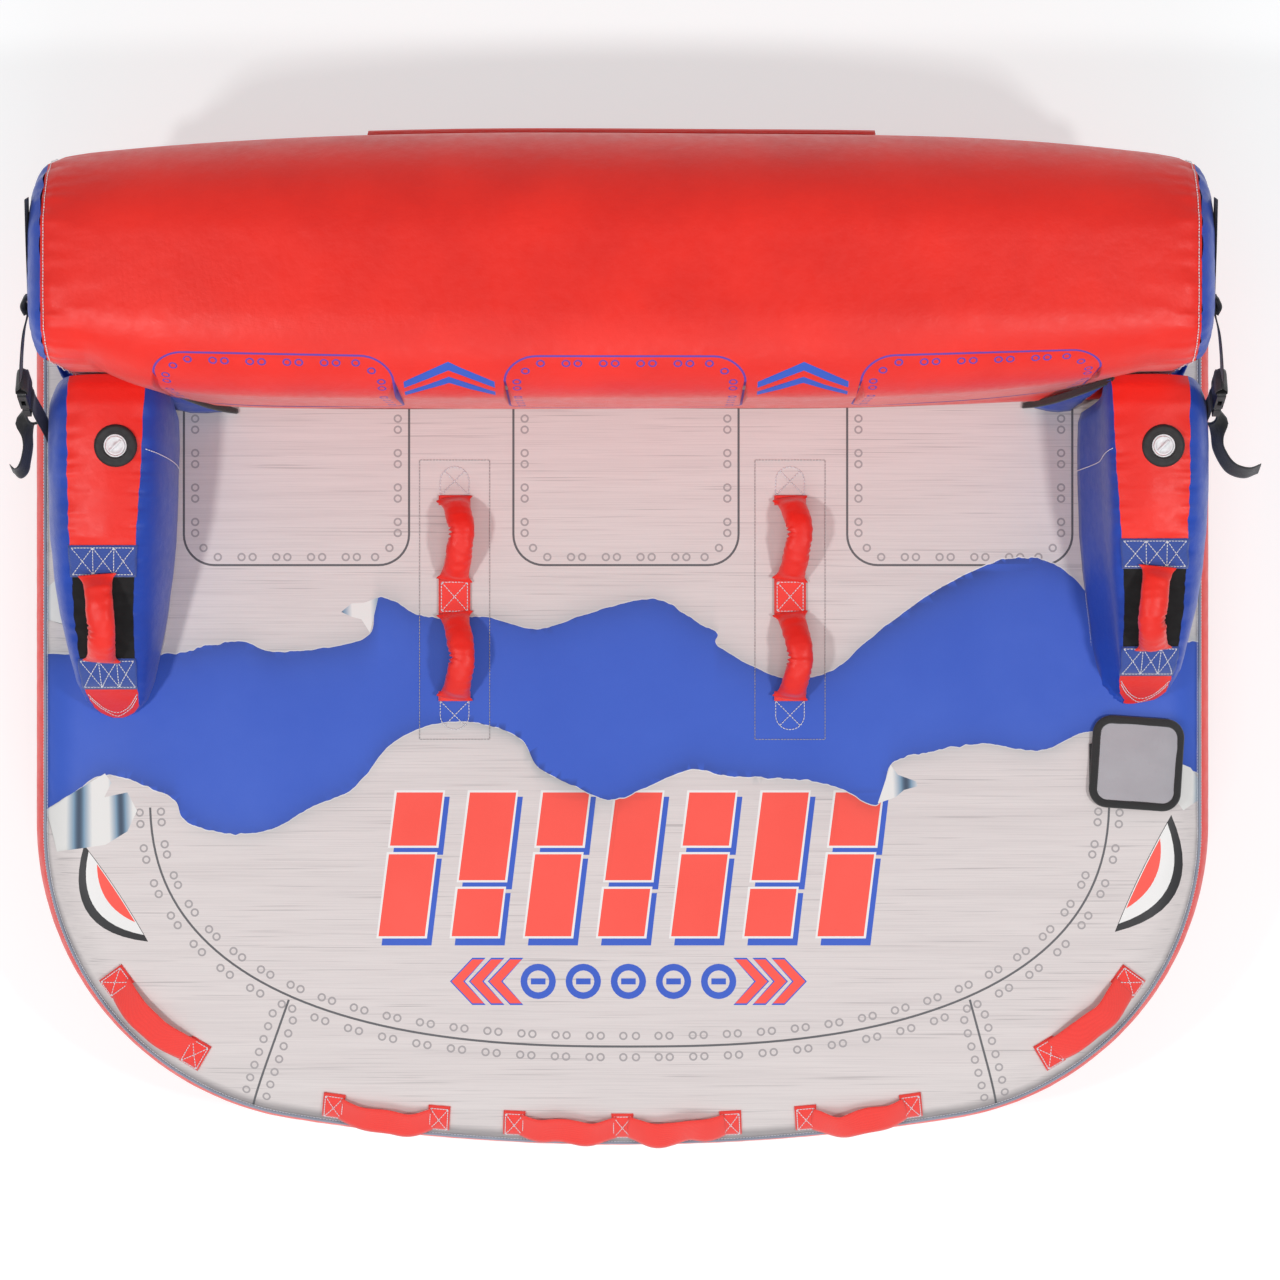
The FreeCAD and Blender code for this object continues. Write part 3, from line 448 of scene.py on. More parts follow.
def join(name, pieces):
    """Merge pieces into one object; they keep their own materials."""
    vertices, faces, slots, keys = [], [], [], []
    for piece in pieces:
        start = len(vertices)
        names = [m.name for m in piece.data.materials]
        for m in piece.data.materials:
            if m.name not in keys:
                keys.append(m.name)
        vertices += [v.co.copy() for v in piece.data.vertices]
        for p in piece.data.polygons:
            faces.append(tuple(start + v for v in p.vertices))
            slots.append(keys.index(names[p.material_index]))
        bpy.data.objects.remove(piece)
    return add_object(name, vertices, faces, [KEYS[key] for key in keys], slots)


# ---------------------------------------------------------------- stitching

THREAD_SLOTS = {"deck": "blue_webbing", "backrest": "blue_fabric"}
threads = {}


def stitches(body, points, normals, pitch=0.0052, length=0.0039, width=0.0014, kind="thread", closed=False):
    """Dashed line of thread along a path that lies on a surface."""
    points = [Vector(p) for p in points]
    normals = [Vector(n) for n in normals]
    if closed:
        points.append(points[0])
        normals.append(normals[0])
    lengths = [0.0]
    for a, b in zip(points, points[1:]):
        lengths.append(lengths[-1] + (b - a).length)
    total = lengths[-1]
    count = max(1, round(total / pitch))
    step = total / count
    store = threads.setdefault((body, kind), ([], []))

    def at(distance):
        k = min(max(np.searchsorted(lengths, distance) - 1, 0), len(points) - 2)
        t = (distance - lengths[k]) / max(lengths[k + 1] - lengths[k], 1e-9)
        return points[k].lerp(points[k + 1], t), normals[k].lerp(normals[k + 1], t).normalized()

    for i in range(count):
        middle = (i + 0.5) * step
        a, up = at(middle - length / 2)
        b, _ = at(middle + length / 2)
        add_stitch(store, a, b, up, width)


def add_stitch(store, a, b, up, width):
    """One stitch: a low rounded bar whose ends dip into the cloth."""
    vertices, faces = store
    along = (b - a).normalized()
    side = up.cross(along).normalized() * (width / 2)
    start = len(vertices)
    for t, rise in ((0.0, -0.2), (0.2, 0.45), (0.8, 0.45), (1.0, -0.2)):
        spot = a.lerp(b, t)
        for across, lift in ((-1, 0.0), (-0.55, 0.7), (0.55, 0.7), (1, 0.0)):
            vertices.append(spot + side * across + up * (width * (rise + lift * 0.5)))
    for i in range(3):
        for k in range(3):
            p = start + i * 4 + k
            faces.append((p, p + 1, p + 5, p + 4))


def make_threads():
    for (body, kind), (vertices, faces) in threads.items():
        piece = add_object(f"stitching_{body}_{kind}", vertices, faces, [kind])
        settle(piece, body, THREAD_SLOTS[body])


def box_x(body, corners, normal, inset=0.004, kind="thread"):
    """Stitched box with a cross in it. corners run round the patch."""
    middle = sum((Vector(c) for c in corners), Vector()) / 4
    inner = []
    for c in corners:
        c = Vector(c)
        inner.append(c + (middle - c).normalized() * inset * 1.4)
    loop = inner + inner[:1]
    for a, b in zip(loop, loop[1:]):
        stitches(body, [a, b], [normal, normal], kind=kind)
    stitches(body, [inner[0], inner[2]], [normal, normal], kind=kind)
    stitches(body, [inner[1], inner[3]], [normal, normal], kind=kind)


# ---------------------------------------------------------------- printed sheets


def inside(points, polygon):
    """Which of the points lie in a polygon, both as arrays."""
    x, y = points[:, 0], points[:, 1]
    hit = np.zeros(len(points), bool)
    px, py = polygon[:, 0], polygon[:, 1]
    for ax, ay, bx, by in zip(px, py, np.roll(px, -1), np.roll(py, -1)):
        crosses = (ay > y) != (by > y)
        if ay != by:
            hit ^= crosses & (x < (bx - ax) * (y - ay) / (by - ay) + ax)
    return hit


def printed_sheet(name, outline, shapes, spacing, surface, base, shade=None, extra=(), keep=None):
    """Cloth sheet with its print cut into the mesh. outline and shapes are in the sheet's own (u, v).
    Each shape is (material, outer loop, hole loops); later ones lie over earlier ones."""
    outline = np.array(outline, float)
    low, high = outline.min(0), outline.max(0)
    us = np.arange(low[0] + spacing / 2, high[0], spacing)
    vs = np.arange(low[1] + spacing / 2, high[1], spacing)
    grid = np.array([(u, v) for v in vs for u in us])
    centre = outline.mean(0)
    shrunk = centre + (outline - centre) * (1 - 0.6 * spacing / np.abs(outline - centre).max())
    grid = grid[inside(grid, shrunk)]
    if keep is not None:
        grid = grid[[keep(u, v) for u, v in grid]]
    coords = [Vector(p) for p in outline]
    edges = [(i, (i + 1) % len(outline)) for i in range(len(outline))]
    for _, outer, holes in shapes:
        for loop in (outer, *holes):
            start = len(coords)
            coords += [Vector(p) for p in loop]
            edges += [(start + i, start + (i + 1) % len(loop)) for i in range(len(loop))]
    coords += [Vector(p) for p in grid] + [Vector(p) for p in extra]
    flat, _, faces, *_ = delaunay_2d_cdt(coords, edges, [], 0, 1e-6)
    flat = np.array([tuple(p) for p in flat])
    faces = np.array([f for f in faces])
    centres = flat[faces].mean(1)
    kept = inside(centres, outline)
    faces, centres = faces[kept], centres[kept]
    keys = [base] + sorted({shape[0] for shape in shapes} - {base})
    slots = np.zeros(len(faces), int)
    for key, outer, holes in shapes:
        outer = np.array(outer, float)
        near = np.all((centres >= outer.min(0)) & (centres <= outer.max(0)), axis=1)
        index = np.nonzero(near)[0]
        hit = inside(centres[index], outer)
        for hole in holes:
            hit &= ~inside(centres[index], np.array(hole, float))
        slots[index[hit]] = keys.index(key)
    used = np.unique(faces)
    renumber = np.full(len(flat), -1)
    renumber[used] = np.arange(len(used))
    flat = flat[used]
    faces = renumber[faces]
    vertices = [surface(u, v) for u, v in flat]
    piece = add_object(name, vertices, [tuple(int(i) for i in f) for f in faces], keys, slots)
    set_normals(piece, flat, surface)
    if shade is not None:
        ink = piece.data.attributes.new("ink", "FLOAT", "POINT")
        ink.data.foreach_set("value", np.array([shade(u, v) for u, v in flat], np.float32))
    return piece


def set_normals(piece, flat, surface, step=0.002):
    """Shading normals from the surface itself, so thin print triangles don't show."""
    normals = []
    for u, v in flat:
        du = surface(u + step, v) - surface(u - step, v)
        dv = surface(u, v + step) - surface(u, v - step)
        normals.append(du.cross(dv).normalized())
    piece.data.normals_split_custom_set_from_vertices(normals)


def rounded_rect(x0, x1, y0, y1, radius, steps=10):
    loop = []
    for cx, cy, turn in (
        (x1 - radius, y1 - radius, 0),
        (x0 + radius, y1 - radius, 90),
        (x0 + radius, y0 + radius, 180),
        (x1 - radius, y0 + radius, 270),
    ):
        for k in range(steps + 1):
            a = math.radians(turn + 90 * k / steps)
            loop.append((cx + radius * math.cos(a), cy + radius * math.sin(a)))
    return loop


def circle(x, y, radius, steps=14):
    turns = [2 * math.pi * k / steps for k in range(steps)]
    return [(x + radius * math.cos(a), y + radius * math.sin(a)) for a in turns]


def rivet(x, y, key="ring"):
    return (key, circle(x, y, 0.0070), [circle(x, y, 0.0041)])


def stroke(points, width, key="line"):
    """Open line of a given width, as one closed shape."""
    pts = [Vector(p) for p in points]
    left, right = [], []
    for i, p in enumerate(pts):
        way = (pts[min(i + 1, len(pts) - 1)] - pts[max(i - 1, 0)]).normalized()
        square = Vector((-way.y, way.x)) * (width / 2)
        left.append(tuple(p + square))
        right.append(tuple(p - square))
    return (key, left + right[::-1], [])


# ---------------------------------------------------------------- deck


def deck_centre_arc():
    """Radius and centre of the shallow front arc."""
    reach = CORNER_Y - DECK_FRONT
    centre_x = DECK_HALF - CORNER
    radius = (CORNER**2 - centre_x**2 - reach**2) / (2 * (CORNER - reach))
    return radius, DECK_FRONT + radius


FRONT_R, FRONT_Y = deck_centre_arc()
FRONT_TURN = math.atan2(DECK_HALF - CORNER, FRONT_Y - CORNER_Y)


def deck_outline(spacing):
    """(point, outward direction) round the deck's outermost edge."""
    out = []

    def arc_run(cx, cy, radius, start, end):
        count = max(2, round(radius * abs(end - start) / spacing))
        for k in range(count):
            a = start + (end - start) * k / count
            way = Vector((math.cos(a), math.sin(a)))
            out.append((Vector((cx, cy)) + way * radius, way))

    def line_run(a, b, way):
        a, b = Vector(a), Vector(b)
        count = max(2, round((b - a).length / spacing))
        for k in range(count):
            out.append((a.lerp(b, k / count), Vector(way)))

    half_pi = math.pi / 2
    inner = DECK_HALF - CORNER
    rear_x, rear_y = DECK_HALF - REAR_CORNER, DECK_REAR - REAR_CORNER
    arc_run(0, FRONT_Y, FRONT_R, -half_pi - FRONT_TURN, -half_pi + FRONT_TURN)
    arc_run(inner, CORNER_Y, CORNER, -half_pi + FRONT_TURN, 0)
    line_run((DECK_HALF, CORNER_Y), (DECK_HALF, rear_y), (1, 0))
    arc_run(rear_x, rear_y, REAR_CORNER, 0, half_pi)
    line_run((rear_x, DECK_REAR), (-rear_x, DECK_REAR), (0, 1))
    arc_run(-rear_x, rear_y, REAR_CORNER, half_pi, math.pi)
    line_run((-DECK_HALF, rear_y), (-DECK_HALF, CORNER_Y), (-1, 0))
    arc_run(-inner, CORNER_Y, CORNER, math.pi, 3 * half_pi - FRONT_TURN)
    return out


def deck_inset(x, y):
    """How far a point is inside the deck's outline."""
    ax = abs(x)
    inner = DECK_HALF - CORNER
    front = FRONT_R - math.hypot(x, y - FRONT_Y)
    if y <= CORNER_Y and ax > inner and math.atan2(ax, FRONT_Y - y) > FRONT_TURN:
        return CORNER - math.hypot(ax - inner, y - CORNER_Y)
    rear_x, rear_y = DECK_HALF - REAR_CORNER, DECK_REAR - REAR_CORNER
    if ax > rear_x and y > rear_y:
        return REAR_CORNER - math.hypot(ax - rear_x, y - rear_y)
    if y <= CORNER_Y:
        return min(DECK_HALF - ax, front)
    return min(DECK_HALF - ax, DECK_REAR - y, front)


SEAM_RISE = [(-0.823, 27), (-0.790, 30), (-0.720, 34), (-0.560, 37), (-0.280, 43)]


def seam_angle(y):
    """Height of the top seam on the rim: high beside the riders, low round the front."""
    return math.radians(ramp(y, SEAM_RISE))


def seam_inset(y):
    return RIM * (1 - math.cos(seam_angle(y)))


def puckers(along, away, size, reach, pitch):
    """Small gathers that run in from a seam and die away."""
    if away > 4 * reach:
        return 0.0
    ridge = noise.noise(Vector((along / pitch, away / (pitch * 3.5), 0.3)))
    fine = noise.noise(Vector((along / (pitch * 0.45), away / (pitch * 2), 5.1)))
    return size * (ridge + 0.5 * fine) * math.exp(-away / reach)


def rolled_height(inset):
    """Height of the smooth top skin at a distance inside the outline."""
    drop = RIM - inset
    return RIM_TOP + math.sqrt(max(RIM**2 - drop**2, 0)) if drop > 0 else DECK_TOP


def deck_top(x, y):
    """Point on the blown-up top cover."""
    inset = deck_inset(x, y)
    z = rolled_height(inset)
    z += 0.0025 * (1 - math.exp(-max(inset - RIM, 0) / 0.12))
    z += 0.0012 * noise.noise(Vector((x * 6, y * 6, 0)))
    z += puckers(x + y, inset - seam_inset(y), 0.0016, 0.020, 0.019)
    return Vector((x, y, z))


def torn_edge(points, size, seed):
    """Ragged line through a few points, its small teeth worked out from noise."""
    line = catmull([(x, y, 0) for x, y in points], 24)
    out = []
    for p in line:
        x = p.x
        rough = 0.35 + max(0.0, noise.noise(Vector((x * 5, seed, 0)))) * 1.8
        tooth = noise.noise(Vector((x / 0.021, seed, 1))) + 0.6 * noise.noise(Vector((x / 0.009, seed, 2)))
        out.append((x, p.y + size * rough * tooth))
    return out


TOP_TEAR = [
    (-1.00, -0.004), (-0.765, -0.007), (-0.690, 0.006), (-0.625, 0.016), (-0.575, -0.001), (-0.480, 0.006),
    (-0.414, 0.028), (-0.400, 0.088), (-0.330, 0.058), (-0.275, 0.056), (-0.217, 0.054), (-0.140, 0.036),
    (-0.060, 0.060), (0.029, 0.084), (0.076, 0.078), (0.120, 0.048), (0.155, 0.030), (0.160, 0.006),
    (0.258, -0.043), (0.340, -0.034), (0.406, 0.020), (0.488, 0.082), (0.560, 0.124), (0.620, 0.148),
    (0.668, 0.153), (0.717, 0.138), (0.758, 0.100), (0.800, 0.052), (0.880, 0.020), (1.00, 0.014),
]
LOW_TEAR = [
    (-1.00, -0.290), (-0.905, -0.235), (-0.849, -0.203), (-0.775, -0.224), (-0.734, -0.246),
    (-0.715, -0.280), (-0.640, -0.300), (-0.570, -0.290), (-0.510, -0.256), (-0.440, -0.224),
    (-0.385, -0.158), (-0.330, -0.126), (-0.275, -0.116), (-0.217, -0.122), (-0.165, -0.146),
    (-0.138, -0.190), (-0.078, -0.222), (-0.020, -0.244), (0.029, -0.228), (0.111, -0.195),
    (0.176, -0.205), (0.291, -0.211), (0.360, -0.226), (0.418, -0.252), (0.440, -0.187), (0.480, -0.171),
    (0.586, -0.152), (0.685, -0.163), (0.767, -0.132), (0.860, -0.150), (0.920, -0.190), (1.00, -0.215),
]
TORN_TOP = torn_edge(TOP_TEAR, 0.0052, 3.0)
TORN_LOW = torn_edge(LOW_TEAR, 0.0062, 9.0)
TORN_TOP_SOFT, TORN_LOW_SOFT = TORN_TOP[::6], TORN_LOW[::6]


def band_shade(x, y):
    """Printed shadow along the torn edges: strength from 0 to 1."""
    top, low = ramp(x, TORN_TOP_SOFT), ramp(x, TORN_LOW_SOFT)
    drift = 0.5 + 0.9 * noise.noise(Vector((x * 2.6, 4.0, 0.0)))
    other = 0.5 + 0.9 * noise.noise(Vector((x * 3.3, 9.0, 2.0)))
    drift, other = clamp(drift), clamp(other)
    if y > top:
        return 0.75 * drift * math.exp(-(y - top) / 0.020)
    if y < low:
        return 0.70 * other * math.exp(-(low - y) / 0.013)
    from_top = 0.85 * (1 - drift) * math.exp(-(top - y) / 0.026)
    from_low = 0.55 * (1 - other) * math.exp(-(y - low) / 0.020)
    return max(from_top, from_low)


SEAT_CENTRES = (-0.5345, 0.006, 0.5535)
SEAT_HALF, SEAT_FRONT, SEAT_RADIUS = 0.1865, 0.139, 0.052
LINE, RIVET_IN, PAIR_GAP, PAIR_PITCH = 0.0036, 0.0203, 0.0182, 0.0565


def seat_rivets(x):
    """Rivets inside one seat outline, as (u, v) with v measured from the seat's front."""
    out = [(x + side * 0.129, 0.015) for side in (-1, 1)]
    for middle in (-0.081, -0.024, 0.033, 0.090):
        out += [(x + middle + gap * PAIR_GAP, 0.015) for gap in (-0.5, 0.5)]
    for side in (-1, 1):
        out.append((x + side * (SEAT_HALF - 0.034), 0.030))
        for k in range(6):
            for gap in (-0.5, 0.5):
                out.append((x + side * (SEAT_HALF - RIVET_IN), 0.0635 + k * PAIR_PITCH + gap * PAIR_GAP))
    return out


def seat_shapes():
    shapes = []
    for x in SEAT_CENTRES:
        x0, x1, rear = x - SEAT_HALF, x + SEAT_HALF, DECK_REAR - 0.05
        outer = rounded_rect(x0, x1, SEAT_FRONT, rear, SEAT_RADIUS)
        inner = rounded_rect(x0 + LINE, x1 - LINE, SEAT_FRONT + LINE, rear - LINE, SEAT_RADIUS - LINE)
        shapes.append(("line", outer, [inner]))
        shapes += [rivet(u, SEAT_FRONT + v) for u, v in seat_rivets(x)]
    return shapes


NOSE_CENTRE, NOSE_HALF, NOSE_DEPTH, NOSE_POWER = (0.012, -0.228), 0.787, 0.421, 2.5


def nose_point(turn, out=0.0):
    """Point on the printed nose line, moved outwards by out."""

    def at(a):
        c, s = abs(math.cos(a)), abs(math.sin(a))
        x = math.copysign(c ** (2 / NOSE_POWER), math.cos(a)) * NOSE_HALF
        return Vector((NOSE_CENTRE[0] + x, NOSE_CENTRE[1] - s ** (2 / NOSE_POWER) * NOSE_DEPTH))

    here, ahead = at(turn), at(turn + 0.004)
    way = (ahead - here).normalized()
    return here - Vector((-way.y, way.x)) * out


def nose_shapes():
    shapes = []
    turns = [math.pi * k / 360 for k in range(4, 357)]
    line = [nose_point(a) for a in turns]
    shapes.append(stroke(line[::4], LINE))
    walked = [0.0]
    for a, b in zip(line, line[1:]):
        walked.append(walked[-1] + (b - a).length)
    total = walked[-1]
    count = int(total / 2 / PAIR_PITCH)
    for k in range(-count, count + 1):
        for gap in (-0.5, 0.5):
            turn = ramp(total / 2 + k * PAIR_PITCH + gap * PAIR_GAP, list(zip(walked, turns)))
            for side in (-0.0175, 0.0175):
                spot = nose_point(turn, side)
                if spot.y < -0.245:
                    shapes.append(rivet(*spot))
    for x, end in ((-0.547, (-0.611, -0.752)), (0.570, (0.619, -0.753))):
        start, end = Vector((x, -0.572)), Vector(end)
        shapes.append(stroke([start.lerp(end, k / 12) for k in range(13)], LINE))
        way = (end - start).normalized()
        square = Vector((-way.y, way.x))
        for k in range(7):
            for side in (-0.0175, 0.0175):
                shapes.append(rivet(*(start + way * (0.030 + 0.0225 * k) + square * side)))
    return shapes


def slanted(x, y0, y1, width, lean, grow=0.0):
    return [
        (x - grow, y0 - grow),
        (x + width + grow, y0 - grow),
        (x + width + lean + grow, y1 + grow),
        (x + lean - grow, y1 + grow),
    ]


BLOCK_FRONT, BLOCK_REAR, BLOCK_START = -0.468, -0.232, -0.400
BLOCKS, BLOCK_WIDTH, BLOCK_PITCH, BLOCK_LEAN, BLOCK_GAP = 7, 0.076, 0.120, 0.030, 0.007
BADGE_X, BADGE_Y = 0.010, -0.542


def block_halves(k):
    """(left, front, rear, lean) of the two parts of one slanted block."""
    depth = BLOCK_REAR - BLOCK_FRONT
    middle = BLOCK_FRONT + depth * (0.36 if k % 2 else 0.60)
    halves = []
    for low, high in ((BLOCK_FRONT, middle - BLOCK_GAP), (middle + BLOCK_GAP, BLOCK_REAR)):
        left = BLOCK_START + k * BLOCK_PITCH + BLOCK_LEAN * (low - BLOCK_FRONT) / depth
        halves.append((left, low, high, BLOCK_LEAN * (high - low) / depth))
    return halves


def chevron(tip, side, grow):
    wing, back = 0.036 + grow, tip - side * 0.034
    inner = -side * (0.019 + grow)
    return [
        (tip + side * grow, BADGE_Y),
        (back, BADGE_Y + wing),
        (back + inner, BADGE_Y + wing),
        (tip + inner, BADGE_Y),
        (back + inner, BADGE_Y - wing),
        (back, BADGE_Y - wing),
    ]


def badge_shapes():
    """Plain slanted blocks with a drop shadow, chevrons and barred rings: no lettering."""
    shapes = []
    for k in range(BLOCKS):
        halves = block_halves(k)
        for left, low, high, lean in halves:
            shadow = slanted(left + 0.008, low - 0.012, high - 0.010, BLOCK_WIDTH, lean, 0.003)
            shapes.append(("band", shadow, []))
        for left, low, high, lean in halves:
            shapes.append(("ink_white", slanted(left, low, high, BLOCK_WIDTH, lean, 0.0035), []))
            shapes.append(("ink_red", slanted(left, low, high, BLOCK_WIDTH, lean), []))
    for side in (-1, 1):
        for k in range(3):
            tip = BADGE_X + side * (0.290 - k * 0.031)
            shapes += [("band", chevron(tip, side, 0.0028), []), ("ink_red", chevron(tip, side, 0.0), [])]
    for k in range(-2, 3):
        x = BADGE_X + k * 0.074
        shapes.append(("band", circle(x, BADGE_Y, 0.029, 24), [circle(x, BADGE_Y, 0.018, 20)]))
        shapes.append(("band", slanted(x - 0.012, BADGE_Y - 0.005, BADGE_Y + 0.005, 0.024, 0.0), []))
    return shapes


def leaf(a, b, bulge_left, bulge_right, steps=14):
    """Pointed leaf between two tips."""
    a, b = Vector(a), Vector(b)
    way = b - a
    square = Vector((-way.y, way.x))
    left = [a + way * t + square * bulge_left * 4 * t * (1 - t) for t in np.linspace(0, 1, steps)]
    right = [a + way * t - square * bulge_right * 4 * t * (1 - t) for t in np.linspace(1, 0, steps)]
    return [tuple(p) for p in left + right[1:-1]]


def fin_shapes():
    """Plain leaf-shaped flashes near the front corners."""
    shapes = []
    layers = ((0.0, 1.0, "ink_black"), (0.07, 0.86, "ink_white"), (0.20, 0.55, "ink_red"))
    for tip, tail, inner, outer in (
        ((-0.883, -0.318), (-0.778, -0.477), 0.02, 0.30),
        ((0.901, -0.269), (0.808, -0.461), 0.30, 0.02),
    ):
        tip, tail = Vector(tip), Vector(tail)
        for short, plump, key in layers:
            ends = tip.lerp(tail, short), tip.lerp(tail, 1 - short)
            shapes.append((key, leaf(*ends, inner * plump, outer * plump), []))
    return shapes


CURLS = [
    [
        (-0.400, 0.088), (-0.424, 0.079), (-0.444, 0.078), (-0.461, 0.064), (-0.444, 0.056),
        (-0.428, 0.052), (-0.414, 0.030),
    ],
    [
        (0.419, -0.250), (0.440, -0.187), (0.452, -0.203), (0.482, -0.214), (0.484, -0.222),
        (0.462, -0.228), (0.448, -0.240),
    ],
    [
        (-0.950, -0.262), (-0.849, -0.201), (-0.838, -0.216), (-0.850, -0.240), (-0.812, -0.232),
        (-0.796, -0.262), (-0.812, -0.296), (-0.848, -0.318), (-0.930, -0.330),
    ],
    [
        (-0.950, 0.052), (-0.950, 0.104), (-0.925, 0.122), (-0.890, 0.100), (-0.880, 0.034),
    ],
    [
        (0.900, -0.178), (0.935, -0.192), (0.952, -0.214), (0.950, -0.246), (0.922, -0.262),
        (0.905, -0.240),
    ],
]


def make_deck():
    ring = deck_outline(0.010)
    outline = [tuple(p - n * seam_inset(p.y)) for p, n in ring]
    band = TORN_TOP + TORN_LOW[::-1]
    edge = 0.0016
    halo = [(x, y + edge) for x, y in TORN_TOP] + [(x, y - edge) for x, y in TORN_LOW[::-1]]
    shapes = seat_shapes() + badge_shapes() + [("ink_white", halo, []), ("band", band, [])]
    shapes += nose_shapes() + fin_shapes() + [("curl", curl, []) for curl in CURLS]
    spacing = 0.013
    rings = []
    for step in (0.003, 0.007, 0.012, 0.018, 0.026, 0.036, 0.049, 0.066):
        rings += [tuple(p - n * (seam_inset(p.y) + step)) for p, n in ring]
    top = printed_sheet("deck_printed_cover", outline, shapes, spacing, deck_top, "grey", band_shade, rings,
                        lambda x, y: deck_inset(x, y) > seam_inset(y) + 0.078)
    settle(top, "deck", "printed_cover", "deck_cover_top")
    make_side_skin()
    make_base_skin()
    make_piping()


def rim_point(p, n, angle, out=0.0):
    """Point on the rolled rim beside outline point p, at an angle above level."""
    reach = RIM + out
    flat = p - n * RIM + n * (reach * math.cos(angle))
    return Vector((flat.x, flat.y, RIM_TOP + reach * math.sin(angle)))


def make_side_skin():
    ring = deck_outline(0.012)
    heights = [RIM_TOP - (RIM_TOP - RIM) * k / 9 for k in range(1, 9)]
    vertices = []
    for i, (p, n) in enumerate(ring):
        along = i * 0.012
        for seam, flip in ((seam_angle(p.y), False), (SEAM, True)):
            run = []
            for k in range(8):
                a = seam * (1 - k / 7)
                v = rim_point(p, n, a, puckers(along, (seam - a) * RIM, 0.003, 0.022, 0.021))
                run.append(Vector((v.x, v.y, DECK_TOP - v.z)) if flip else v)
            if flip:
                for z in heights:
                    wave = 0.0022 * noise.noise(Vector((along * 4, z * 9, 2.0)))
                    vertices.append(Vector((p.x + n.x * wave, p.y + n.y * wave, z)))
                run.reverse()
            vertices += run
    faces = net_faces(len(ring), len(vertices) // len(ring), loop_rows=True)
    side = add_object("deck_side_skin", vertices, faces, ["red"])
    settle(side, "deck", "red_fabric", "deck_side_band")


def make_base_skin():
    def base(x, y):
        inset = deck_inset(x, y)
        drop = RIM - inset
        z = RIM - math.sqrt(max(RIM**2 - drop**2, 0)) if drop > 0 else 0.0
        z += abs(puckers(x + y, inset - SEAM_INSET, 0.002, 0.02, 0.02))
        return Vector((x, y, z))

    ring = deck_outline(0.020)
    outline = [tuple(p - n * SEAM_INSET) for p, n in ring]
    rings = []
    for step in (0.006, 0.014, 0.026, 0.044, 0.066):
        rings += [tuple(p - n * (SEAM_INSET + step)) for p, n in ring]
    low = printed_sheet("deck_base_skin", outline, [], 0.04, base, "black_base", None, rings,
                        lambda x, y: deck_inset(x, y) > SEAM_INSET + 0.08)
    low.data.flip_normals()
    settle(low, "deck", "base_fabric", "deck_cover_bottom")


PIPE = 0.0024


def make_piping():
    turns = [2 * math.pi * k / 8 for k in range(8)]
    cord = [(math.cos(a) * PIPE, math.sin(a) * PIPE) for a in turns]
    cords = []
    for flip in (False, True):
        path, normals = [], []
        for p, n in deck_outline(0.008):
            v = rim_point(p, n, SEAM if flip else seam_angle(p.y), 0.0018)
            path.append(Vector((v.x, v.y, DECK_TOP - v.z)) if flip else v)
            normals.append(Vector((n.x, n.y, 0)))
        cords.append(sweep(f"piping_{int(flip)}", path, normals, lambda t: cord, "piping", closed=True))
    settle(join("seam_piping", cords), "deck", "grey_piping", "deck_piping")
    for angle_off in (-0.055, 0.062):
        points, normals = [], []
        for p, n in deck_outline(0.01):
            a = seam_angle(p.y) + angle_off
            points.append(rim_point(p, n, a, 0.0010))
            normals.append(Vector((n.x * math.cos(a), n.y * math.cos(a), math.sin(a))))
        stitches("deck", points, normals, closed=True)


# ---------------------------------------------------------------- backrest

BACK_FRONT, BACK_REAR = BACK_LOW.y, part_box("backrest_cover")[1].y
BACK_BOTTOM, BACK_TOP = BACK_LOW.z, BACK_HIGH.z


def back_runs(inset=0.0):
    """The backrest's section as runs: straight (y, z, way) or bends (centre, radius, start angle)."""
    front, rear = BACK_FRONT + inset, BACK_REAR - inset
    low, high = BACK_BOTTOM + inset, BACK_TOP - inset
    ft, rt, b = (BACK_RADII[k] - inset for k in ("front_top", "rear_top", "bottom"))
    quarter = math.pi / 2
    return [
        ("line", (front, low + b), (front, high - ft), (-1, 0)),
        ("bend", (front + ft, high - ft), ft, 2 * quarter),
        ("line", (front + ft, high), (rear - rt, high), (0, 1)),
        ("bend", (rear - rt, high - rt), rt, quarter),
        ("line", (rear, high - rt), (rear, low + b), (1, 0)),
        ("bend", (rear - b, low + b), b, 0.0),
        ("line", (rear - b, low), (front + b, low), (0, -1)),
        ("bend", (front + b, low + b), b, -quarter),
    ]


def run_length(run):
    if run[0] == "line":
        return math.dist(run[1], run[2])
    return run[2] * math.pi / 2


BACK_RUNS = back_runs()
BACK_GIRTH = sum(run_length(run) for run in BACK_RUNS)
FRONT_FACE = run_length(BACK_RUNS[0])


def back_section(s, inset=0.0):
    """(y, z, outward y, outward z) at arc length s round the full-size section, moved in by inset."""
    s %= BACK_GIRTH
    for run in BACK_RUNS:
        length = run_length(run)
        if s <= length:
            break
        s -= length
    if run[0] == "line":
        t = s / length
        y = run[1][0] + (run[2][0] - run[1][0]) * t
        z = run[1][1] + (run[2][1] - run[1][1]) * t
        ny, nz = run[3]
        return y - ny * inset, z - nz * inset, ny, nz
    a = run[3] - s / run[2]
    ny, nz = math.cos(a), math.sin(a)
    reach = run[2] - inset
    return run[1][0] + ny * reach, run[1][1] + nz * reach, ny, nz


def end_inset(x):
    start = BACK_END_X - BACK_END_RADIUS
    over = max(abs(x) - start, 0.0)
    return BACK_END_RADIUS - math.sqrt(max(BACK_END_RADIUS**2 - over**2, 0.0))


PULL_FROM, PULL_OVER = 0.285, 0.085


